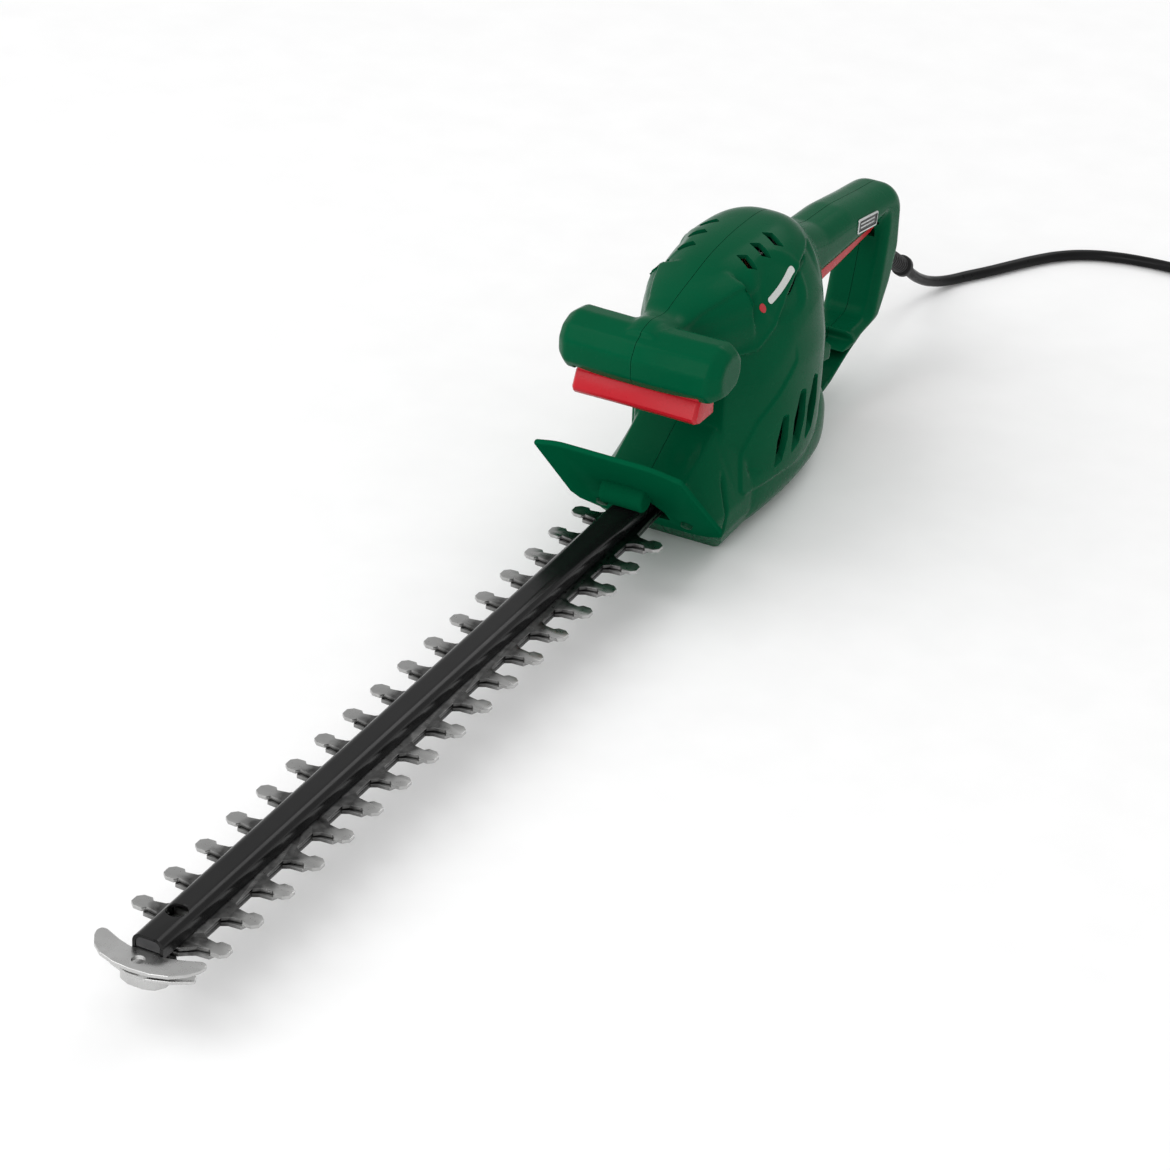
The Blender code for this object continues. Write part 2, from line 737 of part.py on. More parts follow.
def screw_cutter(y, z, side):
    """The hole for one housing screw: a pilot in the left half, clearance and a head pocket in the right."""
    if side > 0:
        return turned("pilot", [(0, 12 * MM), (1.9 * MM, 12 * MM), (1.9 * MM, -1 * MM), (0, -1 * MM)], (0, y * MM, z * MM), (1, 0, 0), 8)
    seat = SCREW_SEAT
    profile = [(0, 1 * MM), (2.1 * MM, 1 * MM), (2.1 * MM, -seat), (3.5 * MM, -seat), (3.5 * MM, -60 * MM), (0, -60 * MM)]
    return turned("way", profile, (0, y * MM, z * MM), (1, 0, 0), 10)


SCREW_SEAT = 8.0 * MM


def housing_openings():
    """Everything cut through the walls: blade mouth, air vents, switch and trigger slots, cord hole."""
    cutters = [box("mouth", (-18.9 * MM, -40 * MM, BASE_TOP - 1.0 * MM), (18.9 * MM, 40 * MM, BAR_TOP + 3.4 * MM))]
    for i in range(3):
        y = (96 + 15 * i) * MM
        for side in (-1, 1):
            vent = box("vent", (-8 * MM, -2.2 * MM, -8 * MM), (8 * MM, 2.2 * MM, 8 * MM))
            tilt = Matrix.Rotation(math.radians(-20 * side), 4, "Z") @ Matrix.Rotation(math.radians(28 * side), 4, "Y")
            vent.data.transform(Matrix.Translation((side * 19 * MM, y, 121 * MM)) @ tilt)
            cutters.append(vent)
    for i in range(3):
        for side in (-1, 1):
            low = (6 + 4 * i) * MM
            y = (112 + 17 * i) * MM
            slit = box("slit", (20 * MM * side - 18 * MM, y, low), (20 * MM * side + 30 * MM, y + 5 * MM, low + 24 * MM))
            if side < 0:
                slit.data.transform(Matrix.Translation((-12 * MM, 0, 0)))
            cutters.append(slit)
    reach = SWITCH_BAR_HALF + RUNNING
    cutters.append(box("bar_slot", (-reach, 4.2 * MM, 60 * MM), (reach, 30.3 * MM, 88 * MM)))
    half = TRIGGER_HALF + RUNNING
    cutters.append(
        box("trigger_slot", (-half, 207 * MM, GRIP_UNDER - 6 * MM), (half, TRIGGER_PIVOT[0] + 4.5 * MM, GRIP_UNDER + WALL + 1 * MM))
    )
    start = boot_point(-9 * MM)
    cutters.append(turned("cord_hole", [(0, 0.03), (6.3 * MM, 0.03), (6.3 * MM, 0), (0, 0)], start, boot_direction(), 20))
    return cutters + guard_screw_holes()


def housing_screws(datum):
    """The screws that close the housing, put in from the right side."""
    for i, (y, z) in enumerate(SCREW_PLACES, 1):
        seat = SCREW_SEAT + GAP
        profile = [
            (0, 10 * MM),
            (1.6 * MM, 10 * MM),
            (1.6 * MM, -seat),
            (3.1 * MM, -seat),
            (2.9 * MM, -seat - 2.0 * MM),
            (0, -seat - 2.4 * MM),
        ]
        screw = turned("screw", profile, (0, y * MM, z * MM), (1, 0, 0), 12)
        piece(screw, f"housing_screw_{i}", "zinc_steel", datum)


def guard_point(u, v, out=0.0):
    """A point of the guard: across, up its slope from the lower corners, and out of its front face."""
    return Vector((u, *GUARD_FOOT)) + GUARD_UP * v + GUARD_OUT * out


def guard_matrix():
    """The guard's own frame: x across, y up its slope, z out of its front."""
    across = Vector((1, 0, 0))
    frame = Matrix((across, GUARD_UP, GUARD_OUT)).transposed().to_4x4()
    return Matrix.Translation((0.0, *GUARD_FOOT)) @ frame


def hand_guard(datum):
    """The swept hand guard: a leaning plate with a mouth for the bar and a round rest above it."""
    high = GUARD_HEIGHT
    half = GUARD_HALF
    outline = rounded_outline(
        [
            (-half + 2 * MM, -1 * MM),
            (-half * 0.62, -9 * MM),
            (half * 0.62, -9 * MM),
            (half - 2 * MM, -1 * MM),
            (half + 1 * MM, 8 * MM),
            (half - 1.2 * MM, high),
            (half * 0.62, high + 8 * MM),
            (-half * 0.62, high + 8 * MM),
            (-half + 1.2 * MM, high),
            (-half - 1 * MM, 8 * MM),
        ],
        [3 * MM, 25 * MM, 25 * MM, 3 * MM, 4 * MM, 3 * MM, 25 * MM, 25 * MM, 3 * MM, 4 * MM],
        3,
    )
    mouth_high = (BAR_TOP + 1.2 * MM - GUARD_FOOT[1]) / math.cos(GUARD_LEAN)
    mouth = [
        (-15 * MM, BASE_TOP - 1.0 * MM),
        (15 * MM, BASE_TOP - 1.0 * MM),
        (15 * MM, 3.4 * MM),
        (10 * MM, BAR_TOP + 1.2 * MM),
        (-10 * MM, BAR_TOP + 1.2 * MM),
        (-15 * MM, 3.4 * MM),
    ]
    holes = [circle(2.1 * MM, GUARD_SCREW[side], 12) for side in (-1, 1)]
    guard = plate("guard", outline, -GUARD_THICK, 0.0, holes)
    guard = rounded(guard, 0.8 * MM, 1, 50)
    rest = turned("rest", [(0, 12.5 * MM), (6 * MM, 12.5 * MM), (7.5 * MM, 11 * MM), (7.5 * MM, -11 * MM), (6 * MM, -12.5 * MM), (0, -12.5 * MM)], (0, 0, 0), (1, 0, 0), 20)
    rest.data.transform(Matrix.Translation((0, mouth_high + 9.5 * MM, 2.0 * MM)))
    behind = box("behind", (-0.1, -0.1, -0.05), (0.1, 0.2, -GUARD_THICK * 0.5))
    guard = joined(guard, cut(rest, behind))
    guard.data.transform(guard_matrix())
    guard = cut(guard, plate("mouth", rounded_outline(mouth, 1.0 * MM, 2), -60 * MM, 60 * MM, (), "Y"))
    piece(guard, "hand_guard", "green_plastic", datum)
    for name, side in (("guard_screw_left", 1), ("guard_screw_right", -1)):
        profile = [
            (0, 2.2 * MM),
            (3.0 * MM, 1.8 * MM),
            (3.4 * MM, GAP),
            (1.6 * MM, GAP),
            (1.6 * MM, -GUARD_THICK - 2.6 * MM),
            (0, -GUARD_THICK - 2.6 * MM),
        ]
        screw = turned("screw", profile, (*GUARD_SCREW[side], 0), (0, 0, 1), 12)
        screw.data.transform(guard_matrix())
        piece(screw, name, "zinc_steel", datum)


def guard_screw_holes():
    """Cutters for the two guard screws, through the front wall of the gear case."""
    cutters = []
    for side in (-1, 1):
        hole = turned("hole", [(0, 0), (1.9 * MM, 0), (1.9 * MM, -12 * MM), (0, -12 * MM)], (*GUARD_SCREW[side], 0), (0, 0, 1), 12)
        hole.data.transform(guard_matrix())
        cutters.append(hole)
    return cutters


def front_switch_bar(datum):
    """The curved red bar under the front handle."""
    mover = empty("front_switch_slide", (0, 17 * MM, 76 * MM), datum)
    rings = []
    for share in (-1.0, -0.95, -0.6, 0.0, 0.6, 0.95, 1.0):
        bow = 5.0 * MM * abs(share) ** 1.6
        front = 0.0 if abs(share) < 1.0 else 1.5 * MM
        ring = []
        for y, z in ((6.0, 68.8), (1.5, 70.8), (0.0, 78.5), (4.8, 78.7), (4.8, 84.5), (22, 84.5), (22, 68.3)):
            ring.append((share * SWITCH_BAR_HALF, y * MM + bow * 0.6 + front * (y < 5), z * MM - bow * 0.4))
        rings.append(ring)
    bar = loft("bar", rings)
    bar.data.transform(Matrix.Translation(-Vector((0, 17 * MM, 76 * MM))))
    return piece(bar, "front_switch_bar", "red_plastic", mover)


def rear_trigger(datum):
    """The red trigger strip under the grip, hinged at its rear end."""
    pivot = Vector((0, *TRIGGER_PIVOT))
    mover = empty("rear_trigger_pivot", pivot, datum)
    outline = rounded_outline(
        [
            (209 * MM, 52.5 * MM),
            (209 * MM, 64.5 * MM),
            (295 * MM, 64.5 * MM),
            (297 * MM, 66.2 * MM),
            (304.4 * MM, 66.2 * MM),
            (304.4 * MM, 58.8 * MM),
            (292 * MM, 56.5 * MM),
            (250 * MM, 54 * MM),
        ],
        [3 * MM, 1 * MM, 0, 0, 2.5 * MM, 2 * MM, 0, 20 * MM],
        3,
    )
    strip = plate("strip", outline, -TRIGGER_HALF, TRIGGER_HALF, [circle(1.8 * MM, TRIGGER_PIVOT, 12)], "X")
    strip = rounded(strip, 0.8 * MM, 1, 60)
    strip.data.transform(Matrix.Translation(-pivot))
    piece(strip, "rear_trigger", "red_plastic", mover)
    reach = HANDLE_HALF - WALL - 2 * MM - GAP
    pin = turned("pin", [(0, reach), (1.5 * MM, reach), (1.5 * MM, -reach), (0, -reach)], pivot, (1, 0, 0), 12)
    piece(pin, "trigger_pin", "zinc_steel", datum)


def tooth_rows(shape, offset):
    """Outline of a toothed blade from its front round its left side to the yoke, and back."""
    side_points = {1: [], -1: []}
    for side in (1, -1):
        shift = -TOOTH_PITCH / 2 if side > 0 else 0.0
        for i in range(TEETH_PER_SIDE):
            centre = FIRST_TOOTH + i * TOOTH_PITCH + shift + offset
            side_points[side] += [(side * x, centre + dy) for x, dy in shape]
    return side_points


def blade(name, shape, low, offset, travel_back, travel_front, parent):
    """A reciprocating blade: toothed strip, slots for the bar bolts and an open yoke for the crank."""
    rows = tooth_rows(shape, offset)
    front = FIRST_TOOTH - TOOTH_PITCH / 2 + offset - 9.0 * MM
    neck = 10.5 * MM
    yoke_y = GEAR_Y + (REST_OFFSET if travel_back < travel_front else -REST_OFFSET)
    outer_x = YOKE_HALF_X + YOKE_FRAME
    yoke_front = yoke_y - YOKE_HALF_Y - YOKE_FRAME
    yoke_rear = yoke_y + YOKE_HALF_Y + YOKE_FRAME
    right = [(8.5 * MM, front)] + rows[1] + [(neck, 17 * MM + offset), (neck, yoke_front - 2 * MM), (outer_x, yoke_front + 6 * MM)]
    right += [(outer_x, yoke_rear - 4 * MM), (outer_x - 4 * MM, yoke_rear)]
    left = [(-8.5 * MM, front)] + rows[-1] + [(-neck, 17 * MM + offset), (-neck, yoke_front - 2 * MM), (-outer_x, yoke_front + 6 * MM)]
    left += [(-outer_x, yoke_rear - 4 * MM), (-outer_x + 4 * MM, yoke_rear)]
    holes = []
    bolts = [(y, y, BOLT_R) for y in (TIP_BOLT_Y, *BAR_BOLT_YS)] + [(*MOUNT_BOLT_YS, MOUNT_BOLT_R)]
    for first, last, radius in bolts:
        around = radius + RUNNING + 0.2 * MM
        holes.append(slot(first - around - travel_back, last + around + travel_front, around, 3))
    window = [(-YOKE_HALF_X, -YOKE_HALF_Y), (YOKE_HALF_X, -YOKE_HALF_Y), (YOKE_HALF_X, YOKE_HALF_Y), (-YOKE_HALF_X, YOKE_HALF_Y)]
    holes.append(rounded_outline([(x, y + yoke_y) for x, y in window], 5 * MM, 3))
    strip = plate(name, right + left[::-1], low, low + BLADE_THICK, holes)
    return piece(strip, name, "ground_steel", parent)


def blades(datum):
    """The upper blade with long paddle teeth and the lower blade with short pointed teeth."""
    reach = TOOTH_REACH
    paddle = [
        (VALLEY_HALF, -6.2 * MM),
        (VALLEY_HALF + 2.6 * MM, -4.2 * MM),
        (reach - 9.0 * MM, -3.4 * MM),
        (reach - 6.8 * MM, -4.6 * MM),
        (reach - 2.4 * MM, -4.4 * MM),
        (reach, -1.9 * MM),
    ]
    paddle += [(x, -dy) for x, dy in reversed(paddle)]
    point = [
        (VALLEY_HALF, -6.2 * MM),
        (VALLEY_HALF + 3.0 * MM, -4.4 * MM),
        (VALLEY_HALF + 9.4 * MM, -3.9 * MM),
        (VALLEY_HALF + 11.0 * MM, 0.0),
        (VALLEY_HALF + 9.4 * MM, 3.9 * MM),
        (VALLEY_HALF + 3.0 * MM, 4.4 * MM),
        (VALLEY_HALF, 6.2 * MM),
    ]
    forwards = CRANK_THROW + REST_OFFSET
    backwards = CRANK_THROW - REST_OFFSET
    upper_slide = empty("upper_blade_slide", (0, 0, 0), datum)
    lower_slide = empty("lower_blade_slide", (0, 0, 0), datum)
    blade("upper_blade", paddle, BLADE_GAP / 2, 0.0, backwards, forwards, upper_slide)
    blade("lower_blade", point, -BLADE_TOP, -2 * REST_OFFSET, forwards, backwards, lower_slide)


def guide_bar(datum):
    """The black steel channel that carries the blades, open underneath and at its front end."""
    half = BAR_WIDTH / 2
    inner = CHANNEL_HALF
    top = BAR_TOP
    low = RAIL_LOW
    outline = [
        (-half, low),
        (-half, top - 3.0 * MM),
        (-half + 1.0 * MM, top - 0.9 * MM),
        (-half + 3.0 * MM, top),
        (half - 3.0 * MM, top),
        (half - 1.0 * MM, top - 0.9 * MM),
        (half, top - 3.0 * MM),
        (half, low),
        (inner, low),
        (inner, top - 3.2 * MM),
        (inner - 1.7 * MM, top - BAR_WALL),
        (-inner + 1.7 * MM, top - BAR_WALL),
        (-inner, top - 3.2 * MM),
        (-inner, low),
    ]
    bar = plate("bar", outline, BAR_FRONT, 60 * MM, axis="Y")
    access = turned("access", [(0, 0.02), (BAR_HOLE_R, 0.02), (BAR_HOLE_R, top - 2.5 * MM), (0, top - 2.5 * MM)], (0, TIP_BOLT_Y, 0), steps=24)
    holes = [
        turned("hole", [(0, 0.02), (MOUNT_BOLT_R + GAP, 0.02), (MOUNT_BOLT_R + GAP, top - 2.5 * MM), (0, top - 2.5 * MM)], (0, y, 0), steps=16)
        for y in MOUNT_BOLT_YS
    ]
    piece(cut(bar, access, *holes), "guide_bar", "black_paint", datum)

    def strip_outline(front, rear, width):
        return [(-width, front), (width, front), (width, rear), (-width, rear)]

    bores = [circle(BOLT_R + GAP, (0, y), 12) for y in BAR_BOLT_YS]
    mounts = [circle(MOUNT_BOLT_R + GAP, (0, y), 12) for y in MOUNT_BOLT_YS]
    rail = plate("rail", strip_outline(TONGUE_REAR + GAP, 59 * MM, RAIL_HALF), RAIL_LOW, RAIL_TOP, bores + mounts)
    piece(rail, "slide_rail", "zinc_steel", datum)
    tip_bore = circle(BOLT_R + GAP, (0, TIP_BOLT_Y), 12)
    front = TIP_FRONT + 5 * MM
    nose = [
        (-7 * MM, 58 * MM),
        (-7 * MM, BAR_FRONT + 12 * MM),
        (-13 * MM, BAR_FRONT + 5 * MM),
        (-23 * MM, BAR_FRONT + 3.5 * MM),
        (-24.5 * MM, BAR_FRONT - 0.5 * MM),
        (-15 * MM, front + 3.5 * MM),
        (-5 * MM, front),
    ]
    lower = plate("lower", nose + [(-x, y) for x, y in reversed(nose)], STRIP_LOW, STRIP_TOP, bores + mounts + [tip_bore])
    lip = [(-12, 3), (-12, -4), (-9, -8.2), (-4, -10.2), (4, -10.2), (9, -8.2), (12, -4), (12, 3)]
    lip = plate("lip", [(x * MM, BAR_FRONT + y * MM) for x, y in lip], STRIP_LOW - 4.5 * MM, STRIP_TOP - 0.5 * MM)
    piece(joined(lower, lip), "guide_strip", "ground_steel", datum)


def tip_guard(datum):
    """The crescent at the front of the bar, with a tongue held inside the channel."""
    tongue = RAIL_HALF
    front = TIP_FRONT
    half = TIP_HALF
    side = [
        (tongue, TONGUE_REAR),
        (tongue, BAR_FRONT - 0.6 * MM),
        (BAR_WIDTH / 2 + 1.2 * MM, BAR_FRONT - 0.2 * MM),
        (half * 0.55, BAR_FRONT + 1.6 * MM),
        (half - 3.4 * MM, BAR_FRONT + 5.6 * MM),
        (half - 0.8 * MM, BAR_FRONT + 5.2 * MM),
        (half, BAR_FRONT + 2.6 * MM),
        (half - 0.9 * MM, BAR_FRONT - 0.8 * MM),
        (half - 4.5 * MM, front + 8.4 * MM),
        (half - 10.5 * MM, front + 3.6 * MM),
        (half - 19 * MM, front + 0.7 * MM),
    ]
    outline = side + [(0, front)] + [(-x, y) for x, y in reversed(side)]
    holes = [circle(BOLT_R + GAP, (0, TIP_BOLT_Y), 12), circle(3.2 * MM, (0, front + 7.6 * MM), 16)]
    crescent = plate("tip", outline, RAIL_LOW, RAIL_LOW + TIP_THICK, holes)
    piece(crescent, "tip_guard", "ground_steel", datum)


def bolt_profile(seat, end, radius, head_r, head):
    """A round-headed bolt standing on its seat."""
    return [
        (0, seat + GAP + head),
        (head_r - 0.7 * MM, seat + GAP + head),
        (head_r, seat + GAP + head - 0.7 * MM),
        (head_r, seat + GAP),
        (radius, seat + GAP),
        (radius, end),
        (0, end),
    ]


def bar_fasteners(datum):
    """Bolts and nuts that clamp the bar, and the two bolts that hold it in the gear case."""
    nut_low = STRIP_LOW - GAP - NUT_THICK
    places = [(TIP_BOLT_Y, RAIL_LOW + TIP_THICK)] + [(y, RAIL_TOP) for y in BAR_BOLT_YS]
    for i, (y, seat) in enumerate(places, 1):
        head = min(BOLT_HEAD, BAR_TOP - BAR_WALL - seat - 2 * GAP)
        bolt = turned("bolt", bolt_profile(seat, nut_low - 0.8 * MM, BOLT_R, BOLT_HEAD_R, head), (0, y, 0), steps=12)
        piece(bolt, f"bar_bolt_{i}", "zinc_steel", datum)
        nut = plate("nut", circle(NUT_R, (0, y), 6), nut_low, nut_low + NUT_THICK, [circle(BOLT_R + GAP, (0, y), 12)])
        piece(nut, f"bar_nut_{i}", "zinc_steel", datum)
    for i, y in enumerate(MOUNT_BOLT_YS, 1):
        profile = bolt_profile(BAR_TOP, BASE_TOP - BASE_THICK, MOUNT_BOLT_R, 4.4 * MM, 2.6 * MM)
        bolt = turned("bolt", profile, (0, y, 0), steps=12)
        piece(bolt, f"bar_mount_bolt_{i}", "zinc_steel", datum)


def base_plate(datum):
    """The steel plate under the blades in the gear case, with the crank's lower bearing hole."""
    outline = rounded_outline([(-16 * MM, 40 * MM), (16 * MM, 40 * MM), (16 * MM, 97 * MM), (-16 * MM, 97 * MM)], 3 * MM, 2)
    holes = [circle(MOUNT_BOLT_R + GAP, (0, y), 12) for y in MOUNT_BOLT_YS]
    holes.append(circle(SPINDLE_R + RUNNING, (0, GEAR_Y), 20))
    base = plate("base", outline, BASE_TOP - BASE_THICK, BASE_TOP, holes)
    piece(base, "gear_base_plate", "zinc_steel", datum)


def gear_outline(teeth, tip, root, half_tip, half_root, start=0.0):
    """A gear's outline: straight-sided teeth between a tip and a root circle, widths as lengths."""
    points = []
    for i in range(teeth):
        middle = start + 2 * math.pi * i / teeth
        for radius, width in ((root, -half_root), (tip, -half_tip), (tip, half_tip), (root, half_root)):
            turn = middle + width / radius
            points.append((radius * math.cos(turn), radius * math.sin(turn)))
    return points


def drive(datum):
    """The driven gear and its crank, which turn together about one upright axis."""
    axis = empty("gear_axis", (0, GEAR_Y, 0), datum)
    pitch = math.pi * GEAR_MODULE
    mesh_turn = math.pi / 2
    outline = gear_outline(
        GEAR_TEETH, PITCH_R_GEAR + 0.75 * GEAR_MODULE, PITCH_R_GEAR - 1.2 * GEAR_MODULE, 0.12 * pitch, 0.33 * pitch, mesh_turn
    )
    gear = plate("gear", outline, GEAR_LOW, GEAR_LOW + GEAR_THICK, [circle(JOURNAL_R + GAP, (0, 0), 24)])
    piece(gear, "drive_gear", "ground_steel", axis)
    up = Vector((math.cos(CRANK_ANGLE), math.sin(CRANK_ANGLE), 0)) * CRANK_THROW
    ease = 0.05 * MM
    upper = turned("upper", [(0, 5 * MM), (ECCENTRIC_R, 5 * MM), (ECCENTRIC_R, -ease), (0, -ease)], up, steps=24)
    lower = turned("lower", [(0, ease), (ECCENTRIC_R, ease), (ECCENTRIC_R, BASE_TOP + GAP), (0, BASE_TOP + GAP)], -up, steps=24)
    shaft = turned(
        "shaft",
        [
            (0, PLATE_TOP),
            (SPINDLE_R, PLATE_TOP),
            (SPINDLE_R, PLATE_LOW - 2 * MM),
            (JOURNAL_R, PLATE_LOW - 2 * MM),
            (JOURNAL_R, 4 * MM),
            (0, 4 * MM),
        ],
        steps=24,
    )
    pivot = turned(
        "pivot", [(0, BASE_TOP + 1 * MM), (SPINDLE_R - 0.4 * MM, BASE_TOP + 1 * MM), (SPINDLE_R - 0.4 * MM, BASE_TOP - BASE_THICK), (0, BASE_TOP - BASE_THICK)], steps=20
    )
    crank = joined(upper, lower, shaft, pivot)
    piece(crank, "crank_shaft", "zinc_steel", axis)


def gear_plate(datum):
    """The cast plate above the gear, which carries the crank and the motor's lower bearing."""
    outline = rounded_outline([(-23 * MM, 68 * MM), (23 * MM, 68 * MM), (30 * MM, 92 * MM), (28 * MM, 146 * MM), (-28 * MM, 146 * MM), (-30 * MM, 92 * MM)], 5 * MM, 3)
    holes = [circle(SPINDLE_R + RUNNING, (0, GEAR_Y), 20), circle(BEARING_LOW_R + GAP, (0, MOTOR_Y), 28)]
    made = plate("plate", outline, PLATE_LOW, PLATE_TOP, holes)
    piece(made, "gear_plate", "cast_aluminium", datum)


BEARING_LOW_R = 11.0 * MM
BEARING_TOP_R = 9.0 * MM


def motor(datum):
    """The universal motor: turning armature on its shaft, and the parts that stand still round it."""
    axis = empty("motor_axis", (0, MOTOR_Y, 0), datum)
    bore = SHAFT_R + GAP
    shaft = turned("shaft", [(0, 117 * MM), (SHAFT_R, 117 * MM), (SHAFT_R, GEAR_LOW - 1 * MM), (0, GEAR_LOW - 1 * MM)], steps=16)
    piece(shaft, "motor_shaft", "ground_steel", axis)
    pitch = math.pi * GEAR_MODULE
    outline = gear_outline(
        PINION_TEETH,
        PITCH_R_PINION + 0.8 * GEAR_MODULE,
        PITCH_R_PINION - 1.1 * GEAR_MODULE,
        0.10 * pitch,
        0.26 * pitch,
        -math.pi / 2 + math.pi / PINION_TEETH,
    )
    pinion = plate("pinion", outline, GEAR_LOW - 0.5 * MM, GEAR_LOW + GEAR_THICK + 0.5 * MM, [circle(bore, (0, 0), 16)])
    piece(pinion, "motor_pinion", "ground_steel", axis)
    star = []
    for i in range(9):
        middle = 2 * math.pi * i / 9
        for radius, width in ((9 * MM, -1.6 * MM), (30 * MM, -1.3 * MM), (30 * MM, 1.3 * MM), (9 * MM, 1.6 * MM)):
            turn = middle + width / radius + (0.25 if radius > 0.02 else 0.0)
            star.append((radius * math.cos(turn), radius * math.sin(turn)))
    fan = plate("fan", star, PLATE_TOP + 4 * MM, PLATE_TOP + 13 * MM, [circle(bore, (0, 0), 16)])
    piece(fan, "cooling_fan", "black_plastic", axis)
    lamination = gear_outline(12, ARMATURE_R, ARMATURE_R - 4.5 * MM, 4.2 * MM, 2.9 * MM)
    core = plate("core", lamination, CORE_LOW, CORE_HIGH, [circle(bore, (0, 0), 16)])
    piece(core, "armature_core", "core_steel", axis)
    commutator = turned("commutator", tube_profile(10.5 * MM, bore, CORE_HIGH + 4 * MM, 108 * MM), steps=24)
    piece(commutator, "commutator", "copper", axis)
    place = (0, MOTOR_Y, 0)
    low_bearing = turned("bearing", tube_profile(BEARING_LOW_R, bore, PLATE_LOW + 1 * MM, PLATE_TOP), place, steps=24)
    piece(low_bearing, "lower_bearing", "zinc_steel", datum)
    top_bearing = turned("bearing", tube_profile(BEARING_TOP_R, bore, 111 * MM, 117 * MM), place, steps=24)
    piece(top_bearing, "upper_bearing", "zinc_steel", datum)
    stator(datum)
    brush_gear(datum)


def stator(datum):
    """The laminated stator ring with a pocket each side, and a wound coil in each pocket."""
    ring = circle(STATOR_R, (0, MOTOR_Y), 40)
    inner = ARMATURE_R + 0.8 * MM
    pocket_y = 12 * MM
    pocket_x = 28 * MM
    bend = math.asin(pocket_y / inner)
    hole = []
    for side in (1, -1):
        turns = [side * math.pi / 2 + math.pi / 2 - bend - (math.pi - 2 * bend) * i / 10 for i in range(11)]
        centre_turns = [math.pi / 2 * side - (math.pi / 2 - bend) + (math.pi - 2 * bend) * i / 10 for i in range(11)]
        hole += [(inner * math.cos(t), MOTOR_Y + inner * math.sin(t)) for t in centre_turns]
        hole += [(-side * pocket_x, MOTOR_Y + side * pocket_y), (-side * pocket_x, MOTOR_Y - side * pocket_y)]
    core = plate("stator", ring, CORE_LOW, CORE_HIGH, [hole])
    piece(core, "stator_core", "core_steel", datum)
    for name, side in (("field_coil_left", 1), ("field_coil_right", -1)):
        low_x, high_x = inner + 0.9 * MM, pocket_x - GAP
        lo = (min(side * low_x, side * high_x), MOTOR_Y - pocket_y + GAP, CORE_LOW - 3 * MM)
        hi = (max(side * low_x, side * high_x), MOTOR_Y + pocket_y - GAP, CORE_HIGH + 3 * MM)
        coil = rounded(box("coil", lo, hi), 1.6 * MM, 2)
        piece(coil, name, "copper", datum)


def brush_gear(datum):
    """A carbon brush and its holder each side of the commutator, standing on their shelf."""
    for word, side in (("left", 1), ("right", -1)):
        low, high = 96.3 * MM, 105.3 * MM
        outline = [(MOTOR_Y - 5 * MM, low), (MOTOR_Y + 5 * MM, low), (MOTOR_Y + 5 * MM, high), (MOTOR_Y - 5 * MM, high)]
        hole = [(MOTOR_Y - 3.3 * MM, low + 1.7 * MM), (MOTOR_Y + 3.3 * MM, low + 1.7 * MM), (MOTOR_Y + 3.3 * MM, high - 1.7 * MM), (MOTOR_Y - 3.3 * MM, high - 1.7 * MM)]
        ends = sorted((side * 14.5 * MM, side * 26 * MM))
        holder = plate("holder", outline, ends[0], ends[1], [hole], "X")
        piece(holder, f"brush_holder_{word}", "brass", datum)
        ends = sorted((side * 10.9 * MM, side * 24 * MM))
        brush = box("brush", (ends[0], MOTOR_Y - 3 * MM, low + 2 * MM), (ends[1], MOTOR_Y + 3 * MM, high - 2 * MM))
        piece(brush, f"carbon_brush_{word}", "carbon", datum)


def electrics(datum):
    """Switches, capacitor and cord clamp."""
    front = rounded(box("switch", (-5 * MM, 40 * MM, 82.4 * MM), (5 * MM, 58 * MM, 94 * MM)), 0.8 * MM, 1)
    piece(front, "front_microswitch", "black_plastic", datum)
    floor = GRIP_UNDER + WALL + GAP
    rear = rounded(box("switch", (-10.7 * MM, 262 * MM, floor + 5.5 * MM), (10.7 * MM, 284 * MM, 77.5 * MM)), 0.8 * MM, 1)
    piece(rear, "rear_microswitch", "black_plastic", datum)
    can = turned("can", [(0, 13 * MM), (7 * MM, 13 * MM), (7.5 * MM, 12 * MM), (7.5 * MM, -12 * MM), (7 * MM, -13 * MM), (0, -13 * MM)], (0, 168 * MM, BELLY_Z + WALL + 7.8 * MM), (1, 0, 0), 20)
    piece(can, "suppressor_capacitor", "cream_plastic", datum)


def boot_direction():
    """Unit vector along the cord boot, out of the handle and down."""
    return Vector((0, math.cos(BOOT_DROP), -math.sin(BOOT_DROP)))


def boot_point(along):
    """A point on the boot's axis, measured from where it leaves the handle."""
    return Vector((0, *BOOT_EXIT)) + boot_direction() * along


def cord_boot(datum):
    """The ribbed rubber boot: flange inside the handle, tapered sleeve and a collar at its end."""
    end = BOOT_LENGTH
    profile = [
        (0, end),
        (5.6 * MM, end),
        (6.4 * MM, end - 1.2 * MM),
        (6.4 * MM, end - 5 * MM),
        (5.0 * MM, end - 6.5 * MM),
        (6.0 * MM, 4 * MM),
        (6.0 * MM, -7.5 * MM),
        (0, -7.5 * MM),
    ]
    boot = turned("boot", profile, boot_point(0), boot_direction(), 20)
    piece(boot, "cord_boot", "black_rubber", datum)
    outline = [(rear_y, z) for rear_y, z in ((-6, -6), (6, -6), (6, 6), (-6, 6))]
    return outline


